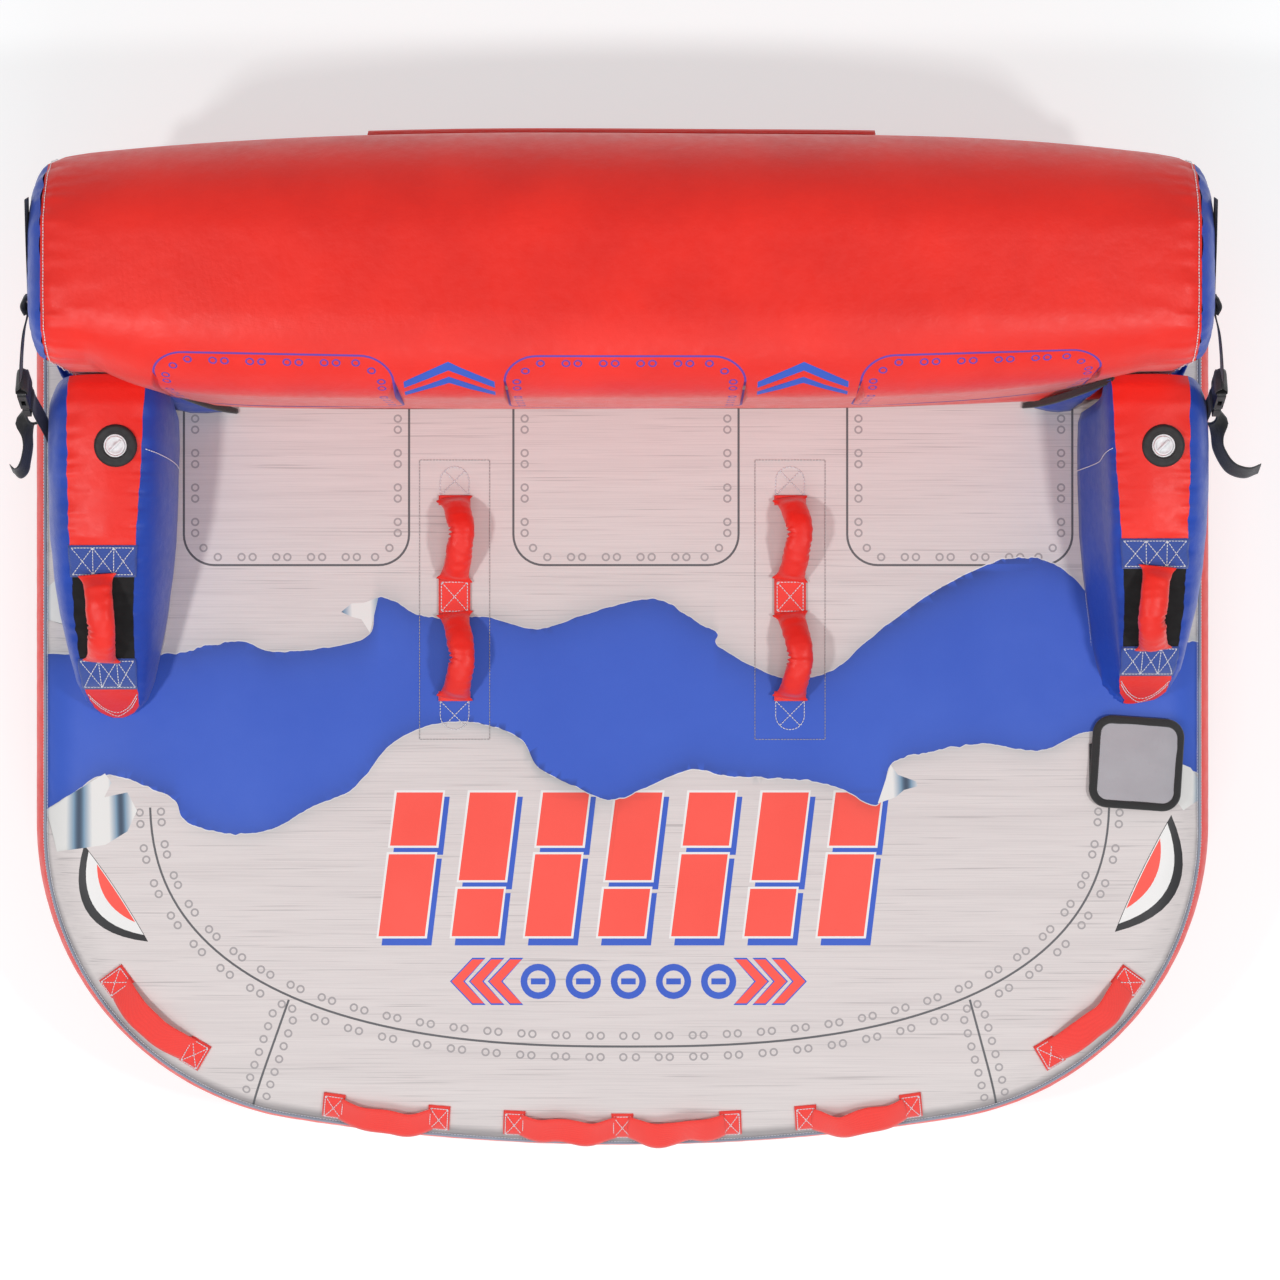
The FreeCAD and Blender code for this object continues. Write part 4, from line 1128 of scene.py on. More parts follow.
def back_pull(x, z, ny, nz):
    """How far the blown-up bar draws in towards its ends, above the height PULL_FROM."""
    rise = eased(clamp((z - PULL_FROM) / PULL_OVER))
    far = abs(x) / 0.82
    back = 0.030 * far**3 * (max(nz, 0.0) ** 2 + max(ny, 0.0) ** 2)
    front = 0.050 * min(far, 1.0) ** (4 if x > 0 else 9) * max(-ny, 0.0) ** 2
    return (back + front) * rise


def back_point(x, s):
    """Point on the blown-up red cover of the backrest."""
    away = BACK_SEAM_X - abs(x)
    y, z, ny, nz = back_section(s, end_inset(x) + 0.004 * math.exp(-away / 0.03))
    swell = 0.0022 * noise.noise(Vector((x * 2.5, s * 5, 1.0)))
    gather = puckers(s, away, 0.0045, 0.035, 0.024)
    out = swell + gather - back_pull(x, z, ny, nz)
    return Vector((x, y + ny * out, z + nz * out))


def back_shapes():
    """Outlines that carry on up from the seats, their rivets, and chevrons between them."""
    shapes = []
    top = FRONT_FACE + 0.128
    low = 0.03
    for x in SEAT_CENTRES:
        x0, x1 = x - SEAT_HALF, x + SEAT_HALF
        outer = rounded_rect(x0, x1, low, top, SEAT_RADIUS)
        inner = rounded_rect(x0 + LINE, x1 - LINE, low + LINE, top - LINE, SEAT_RADIUS - LINE)
        shapes.append(("purple", outer, [inner]))
        shapes += [rivet(u, top - v, "purple") for u, v in seat_rivets(x) if v < top - 0.05]
    for x in ((SEAT_CENTRES[0] + SEAT_CENTRES[1]) / 2, (SEAT_CENTRES[1] + SEAT_CENTRES[2]) / 2):
        for drop, thick in ((0.012, 0.017), (0.042, 0.015)):
            apex, half, fall = top - drop, 0.070, 0.042
            points = [
                (x - half, apex - fall), (x, apex), (x + half, apex - fall),
                (x + half, apex - fall - thick), (x, apex - thick), (x - half, apex - fall - thick),
            ]
            shapes.append(("band", points, []))
    return shapes


def make_backrest():
    seam, outline = BACK_SEAM_X, []
    corners = [(seam, 0.0), (seam, BACK_GIRTH), (-seam, BACK_GIRTH), (-seam, 0.0)]
    for (x0, s0), (x1, s1), count in zip(corners, corners[1:] + corners[:1], (150, 140, 150, 140)):
        run = zip(np.linspace(x0, x1, count).tolist(), np.linspace(s0, s1, count).tolist())
        outline += list(run)[:-1]
    spacing = 0.013
    cover = printed_sheet("backrest_skin", outline, back_shapes(), spacing, back_point, "red")
    settle(cover, "backrest", "red_fabric", "backrest_cover")

    centre = Vector(((BACK_FRONT + BACK_REAR) / 2, (BACK_BOTTOM + BACK_TOP) / 2 - 0.012))
    rings, around = 14, 150
    ends = []
    for sign in (-1, 1):
        vertices = []
        for k in range(rings):
            t = k / (rings - 1) * 0.97
            x = BACK_SEAM_X + (BACK_END_X - BACK_SEAM_X + 0.008) * (1 - (1 - t) ** 4)
            for i in range(around):
                s = BACK_GIRTH * i / around
                edge = back_point(BACK_SEAM_X, s)
                inward = 1 - (t**1.25)
                yy = centre.x + (edge.y - centre.x) * inward
                zz = centre.y + (edge.z - centre.y) * inward
                gather = puckers(s, t * 0.2, 0.004, 0.03, 0.022)
                vertices.append((sign * (x + gather), yy, zz))
        faces = [*net_faces(rings, around, loop_lanes=True), ring_cap(rings - 1, around)]
        if sign < 0:
            faces = [face[::-1] for face in faces]
        ends.append(add_object(f"backrest_end_{sign}", vertices, faces, ["blue"]))
        points, normals = [], []
        for i in range(220):
            s = BACK_GIRTH * i / 220
            ny, nz = back_section(s)[2:]
            normals.append(Vector((0, ny, nz)))
            points.append(back_point(sign * (BACK_SEAM_X - 0.005), s) + normals[-1] * 0.0008)
        stitches("backrest", points, normals, closed=True)
    piece = settle(join("backrest_end_skins", ends), "backrest", "blue_fabric", "backrest_ends")


# ---------------------------------------------------------------- arms

ARM_HEIGHT = [
    (-0.110, 0.001), (-0.100, 0.014), (-0.080, 0.046), (-0.050, 0.090), (0.000, 0.119),
    (0.060, 0.146), (0.120, 0.172), (0.180, 0.196), (0.250, 0.206), (0.330, 0.212), (0.365, 0.211),
    (0.382, 0.203), (0.391, 0.182),
]
ARM_WIDTH = [
    (-0.110, 0.010), (-0.100, 0.030), (-0.080, 0.048), (-0.050, 0.060), (0.000, 0.071),
    (0.060, 0.083), (0.120, 0.092), (0.180, 0.098), (0.250, 0.101), (0.330, 0.1025),
    (0.375, 0.1010), (0.391, 0.094),
]
STRIP_HALF = [
    (-0.110, 0.006), (-0.104, 0.024), (-0.092, 0.036), (-0.070, 0.042), (-0.020, 0.0445),
    (0.060, 0.0475), (0.150, 0.0510), (0.220, 0.0550), (0.300, 0.0590), (0.391, 0.0615),
]
ARM_LEAN = [
    (-0.110, -0.003), (-0.040, -0.005), (0.060, -0.006), (0.170, 0.000), (0.391, 0.008),
]


def arm_values(y):
    return ramp(y, ARM_HEIGHT), ramp(y, ARM_WIDTH), ramp(y, STRIP_HALF)


def arm_point(y, v, lift=0.0):
    """Point on the blown-up arm, seen from its own middle line. v runs 0 to 1 up the inner panel,
    1 to 2 across the top strip and 2 to 3 down the outer panel."""
    height, width, strip = arm_values(y)
    strip = min(strip, width * 0.97)
    foot = width * 0.94

    def panel(t, sign):
        a = Vector((foot, -0.03))
        b = Vector((width * 1.09, height * 0.30))
        c = Vector((width * 1.03, height * 0.90))
        d = Vector((strip, height))
        p = a * (1 - t) ** 3 + b * 3 * t * (1 - t) ** 2 + c * 3 * t * t * (1 - t) + d * t**3
        slope = (b - a) * 3 * (1 - t) ** 2 + (c - b) * 6 * t * (1 - t) + (d - c) * 3 * t * t
        out = Vector((slope.y, -slope.x)).normalized()
        return Vector((sign * p.x, p.y)), Vector((sign * out.x, out.y))

    if v <= 1.0:
        p, out = panel(v, -1)
        away = (1 - v) * height
    elif v < 2.0:
        t = (v - 1) * 2 - 1
        crown = 0.13 * strip * (1 - t * t)
        p = Vector((strip * t, height + crown))
        out = Vector((t * 0.26, 1)).normalized()
        away = (1 - abs(t)) * strip
    else:
        p, out = panel(3 - v, 1)
        away = (v - 2) * height
    gather = puckers(y + 0.37 * (v > 1.5), away, 0.0042, 0.016, 0.017) if -0.09 < y < 0.385 else 0.0
    soft = 0.0012 * noise.noise(Vector((y * 14, v * 3, 7.0)))
    p = p + out * (gather + soft + lift)
    return Vector((p.x, y, DECK_TOP + p.y))


def arm_normal(y, v, step=0.004):
    along = arm_point(y + step, v) - arm_point(y - step, v)
    across = arm_point(y, v + step) - arm_point(y, v - step)
    return across.cross(along).normalized()


RIGHT_ASIDE, LEFT_ASIDE, FLANK_SWELL, FLANK_TUCK = 0.018, 0.004, 0.012, 0.18
NOSE_BACK, REAR_BACK = 0.023, 0.050


def arm_spot(x, y, v, lift=0.0):
    """The same point on the arm that stands at x, whose top leans in and back towards the rear."""
    p = arm_point(y, v, lift)
    up = clamp((p.z - DECK_TOP) / max(ramp(y, ARM_HEIGHT), 0.02))
    rear = clamp((y - 0.29) / 0.10)
    crown = 1 - (v - 1.5) ** 2 * 0.22
    lean = ramp(y, ARM_LEAN) * up
    if x > 0:
        aside = RIGHT_ASIDE * min(2 * up, 1.0) - lean
        if v < 1:
            aside += FLANK_SWELL * math.sin(math.pi * up) - FLANK_TUCK * p.x * (1 - v**3)
    else:
        aside = LEFT_ASIDE * up + lean
    back = NOSE_BACK * clamp((0.33 - y) / 0.42) ** 0.8 if x > 0 else 0.0
    return Vector((x + p.x + aside, p.y + back + REAR_BACK * rear * rear * up * crown, p.z))


def clear_of_deck(point):
    """Keeps a foot of the arm on the deck's rim, just under its skin."""
    ground = deck_top(point.x, point.y).z - 0.003
    return Vector((point.x, point.y, max(point.z, ground)))


def arm_lanes():
    """Places across the arm's skin, closest together over the top strip."""
    return [k / 12 for k in range(12)] + [1 + k / 14 for k in range(14)] + [2 + k / 12 for k in range(13)]


def arm_patch(name, x, ys, lanes, key):
    """Part of one arm's skin, as a grid of stations along the arm and places across it."""
    vertices = [clear_of_deck(arm_spot(x, float(y), v)) for y in ys for v in lanes]
    return add_object(name, vertices, net_faces(len(ys), len(lanes)), [key])


def make_arm_skin(side, x):
    """The arm's four cloth pieces: two blue sides with the rear wall, the red strip and its black pad."""
    rows = 170
    nose, rear = -0.1095, ARM_REAR - 0.001
    pad_front, pad_rear = PAD_LOW.y - 0.006, PAD_HIGH.y + 0.006
    lanes = arm_lanes()
    top = [v for v in lanes if 1.0 <= v <= 2.0]
    whole = np.linspace(nose, rear, rows)
    pad = np.linspace(pad_front, pad_rear, rows // 3)
    sides = [
        arm_patch("inner", x, whole, [v for v in lanes if v <= 1.0], "blue"),
        arm_patch("outer", x, whole, [v for v in lanes if v >= 2.0], "blue"),
        arm_rear_wall("rear", x, rear, lanes),
    ]
    strips = [
        arm_patch("strip_front", x, np.linspace(nose, pad_front, rows // 4), top, "red"),
        arm_patch("strip_rear", x, np.linspace(pad_rear, rear, rows // 2), top, "red"),
    ]
    panels = settle(join(f"arm_{side}_side_skin", sides), "deck", "blue_fabric", f"arm_{side}_side_panels")
    strip = settle(join(f"arm_{side}_top_skin", strips), "deck", "red_fabric", f"arm_{side}_top_panel")
    knuckle = arm_patch(f"arm_{side}_pad_skin", x, pad, top, "neoprene")
    settle(knuckle, "deck", "black_neoprene", f"arm_{side}_knuckle_pad")


def arm_rear_wall(name, x, y, lanes):
    """Blue wall that closes the arm's rear end, crowned a little by the air behind it."""
    rim = [clear_of_deck(arm_spot(x, y, v)) for v in lanes]
    middle = sum(rim, Vector()) / len(rim)
    vertices, rings = list(rim), 5
    for k in range(1, rings):
        t = k / rings
        vertices += [p.lerp(middle, t) + Vector((0, 0.010 * math.sin(math.pi / 2 * t), 0)) for p in rim]
    vertices.append(middle + Vector((0, 0.010, 0)))
    count = len(rim)
    faces = net_faces(rings, count, loop_lanes=True)
    last = (rings - 1) * count
    faces += [(last + i, last + (i + 1) % count, len(vertices) - 1) for i in range(count)]
    return add_object(name, vertices, faces, ["blue"])


BAND_RUN, BAND_LIFT = 0.050, 0.0031


def make_arm(side, x):
    """Skin, webbing bands and stitching of one arm."""
    make_arm_skin(side, x)

    def sew(spots, lift):
        points = [arm_spot(x, y, v, lift) for y, v in spots]
        stitches("deck", points, [arm_normal(y, v) for y, v in spots])

    bands = []
    for y0, y1 in ((PAD_LOW.y - BAND_RUN, PAD_LOW.y), (PAD_HIGH.y, PAD_HIGH.y + BAND_RUN)):
        lanes = np.linspace(0.985, 2.015, 27)
        cols = np.linspace(y0, y1, 9)
        grid = []
        for y in cols:
            for v in lanes:
                lift = 0.0022 if 0 < (y - y0) < (y1 - y0) - 1e-6 else 0.0012
                grid.append(arm_spot(x, float(y), float(v), lift + 0.0004))
        faces = net_faces(len(cols), len(lanes))
        band = add_object(f"arm_{side}_band_{len(bands)}", grid, faces, ["blue_webbing"])
        bands.append(thicken(band, 0.0018))
        marks = [1.03, 1.36, 1.68, 1.97]
        edges = (y0 + 0.004, y1 - 0.004)
        for y in edges:
            sew([(y, v) for v in np.linspace(1.02, 1.98, 24)], BAND_LIFT)
        for v in marks[1:-1]:
            sew([(y, v) for y in np.linspace(*edges, 6)], BAND_LIFT)
        for v0, v1 in zip(marks, marks[1:]):
            for a, b in (edges, edges[::-1]):
                sew([(a + (b - a) * t, v0 + (v1 - v0) * t) for t in np.linspace(0, 1, 8)], BAND_LIFT)
    settle(join(f"arm_{side}_band_webbing", bands), "deck", "blue_webbing", f"arm_{side}_webbing_bands")

    inner = (lambda t: t) if side == "right" else (lambda t: 3 - t)
    seam = [(0.318 - 0.030 * (1 - t), inner(t)) for t in np.linspace(0.06, 0.96, 24)]
    foot = [(float(y), inner(0.16)) for y in np.linspace(-0.080, 0.080, 30)]
    sew(foot, 0.0012)
    sew(seam, 0.0008)
    for shift in (0.0, 0.006):
        nose = [(-0.106 + shift + 0.030 * abs(t) ** 2.6, 1.5 + 0.47 * t) for t in np.linspace(-1, 1, 40)]
        sew(nose, 0.0010)


def make_bladders():
    """Air bladders inside the arms and the backrest, following the skins they blow up."""
    arms = []
    for side, x in (("left", -ARM_X), ("right", ARM_X)):
        rows, lanes = 30, np.linspace(0.12, 2.88, 40)
        vertices = []
        for y in np.linspace(-0.070, ARM_REAR - 0.014, rows):
            for v in lanes:
                vertices.append(arm_spot(x, float(y), float(v), -0.010))
        arms.append(closed_tube(f"arm_bladder_{side}", vertices, rows, len(lanes), "vinyl"))
    settle(join("arm_air_bladders", arms), "deck", "bladder_vinyl", "arm_bladders")
    around = 90
    xs = np.linspace(-BACK_SEAM_X + 0.004, BACK_SEAM_X - 0.004, 60)
    vertices = []
    for x in xs:
        for k in range(around):
            y, z, ny, nz = back_section(BACK_GIRTH * k / around, end_inset(x) + 0.014)
            pull = back_pull(x, z, ny, nz)
            vertices.append((x, y - ny * pull, z - nz * pull))
    bar = closed_tube("backrest_air_bladder", vertices, len(xs), around, "vinyl")
    settle(bar, "backrest", "bladder_vinyl", "backrest_bladder")


def closed_tube(name, vertices, rows, lanes, key):
    """Tube of rows of vertices, capped at both ends."""
    faces = net_faces(rows, lanes, loop_lanes=True)
    faces += [ring_cap(0, lanes)[::-1], ring_cap(rows - 1, lanes)]
    return add_object(name, vertices, faces, [key])


# ---------------------------------------------------------------- padded loop handles


def padded_tube(name, path, across, width, height, kinks, seed):
    """Sleeve over foam: flat and wide at its sewn ends, full in the middle, creased at its kinks."""
    round_steps = 22

    def section(t):
        end = min(t, 1 - t)
        full = eased(min(end / 0.14, 1.0))
        half_w = (width * (1.12 - 0.12 * full)) / 2
        half_h = 0.0035 + (height / 2 - 0.0035) * full
        flare = 0.006 * math.exp(-((end / 0.03) ** 2))
        out = []
        for k in range(round_steps):
            a = 2 * math.pi * k / round_steps
            c, s = math.cos(a), math.sin(a)
            side = math.copysign(abs(c) ** 0.85, c) * (half_w + flare)
            up = math.copysign(abs(s) ** 0.9, s) * half_h
            crease = 0.0
            for place, hand, depth in kinks:
                near = math.exp(-(((t - place) / 0.085) ** 2))
                facing = max(0.0, hand * c + 0.25)
                crease -= depth * near * facing * (0.55 + 0.45 * math.cos((t - place) * 105.0))
            wrinkle = 0.0013 * noise.noise(Vector((t * 19, a * 1.1, seed)))
            wrinkle += 0.0011 * noise.noise(Vector((t * 7, a * 2.6, seed + 3)))
            scale = 1 + (crease + wrinkle) / max(half_w, 0.01)
            out.append((side * scale, up * (1 + (wrinkle * full) / max(half_h, 0.004))))
        return out

    return sweep(name, path, across, section, "red")


def tent_path(start, end, up, across, rise, lean, kink, steps=64):
    """Slack loop between two sewn ends: steep sides with one soft bend, pushed over to one side."""
    out = []
    for i in range(steps + 1):
        t = i / steps
        fold = (t / kink if t < kink else (1 - t) / (1 - kink))
        soft = math.sin(math.pi * min(fold, 1.0) / 2) ** 1.15
        round_top = 1 - math.exp(-((t - kink) ** 2) / 0.012) * 0.06
        out.append(start.lerp(end, t) + up * (rise * soft * round_top) + across * (lean * soft))
    return out


def make_loop(name, node, start, end, up, lean, kink, rise=0.046, width=0.043, height=0.030, seed=1.0):
    along = (end - start).normalized()
    side = along.cross(up).normalized()
    path = tent_path(start, end, up, side, rise, lean, kink)
    kinks = [(kink, -math.copysign(1, lean), 0.006), (kink + 0.18, math.copysign(1, lean), 0.002)]
    tube = padded_tube(name, path, side, width, height, kinks, seed)
    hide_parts(node)
    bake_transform(tube)
    return tube


SEAT_HANDLE_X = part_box("seat_handle_right_rear")[0].lerp(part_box("seat_handle_right_rear")[1], 0.5).x
SEAT_LOOPS = {"rear": (0.116, 0.250), "front": (-0.077, 0.062)}
LOOP_LIFT, PATCH_LIFT, TONGUE_LIFT = DECK_TOP + 0.0095, DECK_TOP + 0.0072, DECK_TOP + 0.0062
PATCH_WIDTH = 0.052


def make_seat_handles():
    bends = {"rear": (0.42, 0.013), "front": (0.52, 0.014)}
    patches = []
    for side, sign in (("left", -1), ("right", 1)):
        x = sign * SEAT_HANDLE_X
        for k, (place, (y0, y1)) in enumerate(SEAT_LOOPS.items()):
            node, (kink, lean) = f"seat_handle_{side}_{place}", bends[place]
            ends = Vector((x, y1, LOOP_LIFT)), Vector((x, y0, LOOP_LIFT))
            make_loop(f"{node}_sleeve", node, *ends, UP, -lean, kink, seed=2.0 + k * 3 + sign)
        y0, y1 = SEAT_LOOPS["front"][1] - 0.003, SEAT_LOOPS["rear"][0] + 0.003
        middle = Vector((x, (y0 + y1) / 2, PATCH_LIFT))
        patches.append(webbing_patch(f"patch_{side}", middle, REARWARDS, UP, y1 - y0, PATCH_WIDTH))
        marks = ((-0.025, y0 + 0.002), (0.025, y0 + 0.002), (0.025, y1 - 0.002), (-0.025, y1 - 0.002))
        box_x("deck", [(x + a, b, middle.z + 0.0016) for a, b in marks], UP)
        for y, way in ((SEAT_LOOPS["rear"][1], 1), (SEAT_LOOPS["front"][0], -1)):
            middle = Vector((x, y - way * 0.003, TONGUE_LIFT))
            patches.append(webbing_patch(f"tongue_{side}_{way}", middle, REARWARDS, UP, 0.016, PATCH_WIDTH))
            sewn_end(x, y + way * 0.005, way)
        border_stitches(x)
    webbing = join("seat_handle_webbing", patches)
    settle(webbing, "deck", "red_webbing", "seat_handle_patches", "seat_handle_backings")


def on_deck(x, y, lift=0.0008):
    p = deck_top(x, y)
    return Vector((p.x, p.y, p.z + lift))


def sewn_end(x, y, way):
    """Stitched D with a cross in it, over the webbing end sewn under the cover."""
    half, depth = 0.0235, 0.047
    turns = [math.pi * k / 24 for k in range(25)]
    arc = [(x + half * math.cos(a), y + way * (depth - half + half * math.sin(a))) for a in turns]
    loop = [(x + half, y)] + arc + [(x - half, y)]
    points = [on_deck(*p) for p in loop]
    stitches("deck", points, [UP] * len(points))
    for s in (-1, 1):
        line = [(x + s * half * (1 - 1.72 * t), y + way * depth * 0.86 * t) for t in np.linspace(0, 1, 8)]
        stitches("deck", [on_deck(*p) for p in line], [UP] * 8)


def border_stitches(x):
    half, y0, y1 = 0.0575, -0.145, 0.313
    corners = [(x - half, y0), (x + half, y0), (x + half, y1), (x - half, y1)]
    for a, b in zip(corners, corners[1:] + corners[:1]):
        steps = np.linspace(0, 1, 20)
        points = [on_deck(a[0] + (b[0] - a[0]) * t, a[1] + (b[1] - a[1]) * t) for t in steps]
        stitches("deck", points, [UP] * 20, kind="grey_thread", width=0.0012)


def webbing_patch(name, middle, along, up, length, width, key="red_webbing", thickness=0.0028):
    side = along.cross(up).normalized()
    path = [middle + along * (length * (k / 8 - 0.5)) for k in range(9)]
    return sweep(name, path, side, lambda t: strap_section(width, thickness), key)


# ---------------------------------------------------------------- arm handles


def make_arm_handles():
    for side, sign, shift in (("left", -1, -0.007), ("right", 1, 0.003)):
        x = sign * ARM_X
        low = arm_spot(x, PAD_LOW.y - 0.004, 1.5, 0.0085)
        high = arm_spot(x, PAD_HIGH.y + 0.004, 1.5, 0.0085)
        start, end = high + Vector((shift, 0, 0)), low + Vector((shift, 0, 0))
        along = (end - start).normalized()
        up = along.cross(Vector((1, 0, 0)))
        up = up if up.z > 0 else -up
        node = f"arm_{side}_handle"
        make_loop(f"{node}_sleeve", node, start, end, up, -0.008 if sign < 0 else 0.010, 0.52, rise=0.040,
                  width=0.044, height=0.032, seed=11.0 + sign)


# ---------------------------------------------------------------- rim straps


def rim_frame(centre, radius, angle, lean):
    out = Vector((math.cos(angle), math.sin(angle), 0))
    normal = out * math.sin(lean) + UP * math.cos(lean)
    point = Vector((*centre, RIM_TOP)) + out * (radius - RIM) + normal * RIM
    return point, UP.cross(out), normal


LEAN, CORNER_LEAN = math.radians(34.6), math.radians(21)


def front_frame(x):
    reach = FRONT_R - RIM * (1 - math.sin(LEAN))
    return rim_frame((0, FRONT_Y), FRONT_R, math.asin(x / reach) - math.pi / 2, LEAN)


def corner_frame(degrees):
    return rim_frame((DECK_HALF - CORNER, CORNER_Y), CORNER, -math.radians(degrees), CORNER_LEAN)


def mirror_frame(spot):
    point, along, normal = spot
    flip = Vector((-1, 1, 1))
    return point * flip, Vector((along.x, -along.y, along.z)), normal * flip


def rim_strap(name, node, start, end, sag, seed):
    """Slack webbing sewn down at both ends, standing off the rim and drooping outwards."""
    inset = (end[0] - start[0]).normalized() * 0.009
    a, b = start[0] + start[2] * 0.0022 + inset, end[0] + end[2] * 0.0022 - inset
    chord = b - a
    steps = 48
    path, sides = [], []
    for i in range(steps + 1):
        t = i / steps
        normal = start[2].lerp(end[2], t).normalized()
        down = chord.normalized().cross(normal).normalized()
        down = down if down.z < 0 else -down
        bow = min(t, 1 - t) / 0.5
        bow = math.sin(math.pi / 2 * min(bow * 1.25, 1.0)) ** 0.9
        skew = 0.0045 * noise.noise(Vector((t * 2.3, seed, 0.0))) * bow
        path.append(a.lerp(b, t) + normal * ((0.017 + skew) * bow) + down * ((sag + 2 * skew) * bow))
        roll = 0.30 * noise.noise(Vector((t * 2.4, seed, 4.0))) * bow - 0.10 * bow
        sides.append(down * math.cos(roll) - normal * math.sin(roll))
    strap = sweep(name, path, sides, lambda t: strap_section(0.047, 0.0022, 0.0012), "red_webbing")
    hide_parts(node)
    middle = start[0].lerp(end[0], 0.5)
    normal = start[2].lerp(end[2], 0.5).normalized()
    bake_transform(strap)
    return strap


def rim_patch(name, spot, length=0.036):
    """Box-stitched patch that hugs the rim."""
    point, along, normal = spot
    down = along.cross(normal).normalized()
    down = down if down.z < 0 else -down
    out = Vector((normal.x, normal.y, 0)).normalized()
    centre = point - normal * RIM
    half, slope = 0.0255 / RIM, math.acos(normal.z)

    def at(a, b, lift):
        turn = slope + b * half
        way = out * math.sin(turn) + UP * math.cos(turn)
        return centre + way * (RIM + lift) + along * (a * length / 2), way

    lanes, rows = 9, 7
    top, low = [], []
    for i in range(rows):
        a = 2 * i / (rows - 1) - 1
        for k in range(lanes):
            b = 2 * k / (lanes - 1) - 1
            edge = 0.0012 if abs(a) == 1 or abs(b) == 1 else 0.0
            top.append(at(a, b, 0.0042 - edge)[0])
            low.append(at(a, b, -0.001)[0])
    n = rows * lanes
    faces = net_faces(rows, lanes)
    faces += [tuple(n + v for v in (face[0], *face[:0:-1])) for face in faces]
    border = [*range(lanes)] + [i * lanes + lanes - 1 for i in range(1, rows)]
    border += [(rows - 1) * lanes + k for k in range(lanes - 2, -1, -1)]
    border += [i * lanes for i in range(rows - 2, 0, -1)]
    for a, b in zip(border, border[1:] + border[:1]):
        faces.append((a, n + a, n + b, b))
    patch = add_object(name, top + low, faces, ["red_webbing"])
    marks = [(-0.8, -0.84), (0.8, -0.84), (0.8, 0.84), (-0.8, 0.84)]
    lines = list(zip(marks, marks[1:] + marks[:1])) + [(marks[0], marks[2]), (marks[1], marks[3])]
    for (a0, b0), (a1, b1) in lines:
        spots = [at(a0 + (a1 - a0) * t, b0 + (b1 - b0) * t, 0.0048) for t in np.linspace(0, 1, 6)]
        stitches("deck", [p for p, _ in spots], [w for _, w in spots])
    return patch


def make_rim_straps():
    centre = front_frame(0.0)
    outer = front_frame(0.178)
    near, far = front_frame(0.302), front_frame(0.475)
    low, high = corner_frame(59.0), corner_frame(36.0)
    spans = {"centre": (centre, outer, 0.003), "front": (near, far, 0.008), "corner": (low, high, 0.003)}
    patches = [rim_patch("rim_patch_middle", centre)]
    for k, (place, (start, end, sag)) in enumerate(spans.items()):
        for side in ("right", "left"):
            a, b = (start, end) if side == "right" else (mirror_frame(start), mirror_frame(end))
            node = f"rim_strap_{side}_{place}"
            rim_strap(f"{node}_webbing", node, a, b, sag, k + (0.5 if side == "left" else 0.0))
            if place != "centre":
                patches.append(rim_patch(f"rim_patch_{side}_{place}_a", a))
            patches.append(rim_patch(f"rim_patch_{side}_{place}_b", b))
    settle(join("rim_strap_stitched_ends", patches), "deck", "red_webbing", "rim_strap_patches")


# ---------------------------------------------------------------- valve flap


def make_valve_flap():
    x_mid, y_mid = (FLAP_LOW.x + FLAP_HIGH.x) / 2, (FLAP_LOW.y + FLAP_HIGH.y) / 2
    half, radius = (FLAP_HIGH.x - FLAP_LOW.x) / 2, 0.030
    turn = math.radians(-4)

    def surface(u, v):
        x = x_mid + u * math.cos(turn) - v * math.sin(turn)
        y = y_mid + u * math.sin(turn) + v * math.cos(turn)
        wrinkle = 0.0022 * noise.noise(Vector((u * 22 + v * 9, v * 26, 3.0)))
        return Vector((x, y, rolled_height(deck_inset(x, y)) + 0.0105 + wrinkle))

    outline = rounded_rect(-half, half, -half, half, radius)
    panel = printed_sheet("valve_flap_cloth", outline, [], 0.008, surface, "flap_grey")
    thicken(panel, 0.002)
    settle(panel, "valve_flap", "grey_fabric", "valve_flap")
    edge = rounded_rect(-half + 0.006, half - 0.006, -half + 0.006, half - 0.006, radius - 0.006, 12)
    path, sides = [], []
    for i, (u, v) in enumerate(edge):
        path.append(surface(u, v) + Vector((0, 0, -0.001)))
        (u0, v0), (u1, v1) = edge[i - 1], edge[(i + 1) % len(edge)]
        sides.append(Vector((v1 - v0, u0 - u1, 0)).normalized())
    rim = strap_section(0.0135, 0.0052, 0.0012)
    tape = sweep("valve_flap_tape", path, sides, lambda t: rim, "binding", closed=True)
    settle(tape, "valve_flap", "black_binding", "valve_flap_binding")

    low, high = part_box("valve_flap_hem")
    pivot = Vector(joint("valve_flap_lift")["pos_m"])
    profile = [(pivot.x + 0.0110, DECK_TOP + 0.0018), (pivot.x + 0.0010, DECK_TOP + 0.0020),
               (pivot.x - 0.0016, DECK_TOP + 0.0042), (pivot.x - 0.0006, DECK_TOP + 0.0068),
               (pivot.x + 0.0050, DECK_TOP + 0.0080)]
    ys = np.linspace(low.y + 0.018, high.y - 0.018, 24)
    points = [Vector((px, y, pz)) for px, pz in profile for y in ys]
    hinge = add_object("valve_flap_hinge_tape", points, net_faces(len(profile), len(ys)), ["binding"])
    thicken(hinge, 0.0012, 0)
    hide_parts("valve_flap_hem")
    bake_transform(hinge)


# ---------------------------------------------------------------- gussets


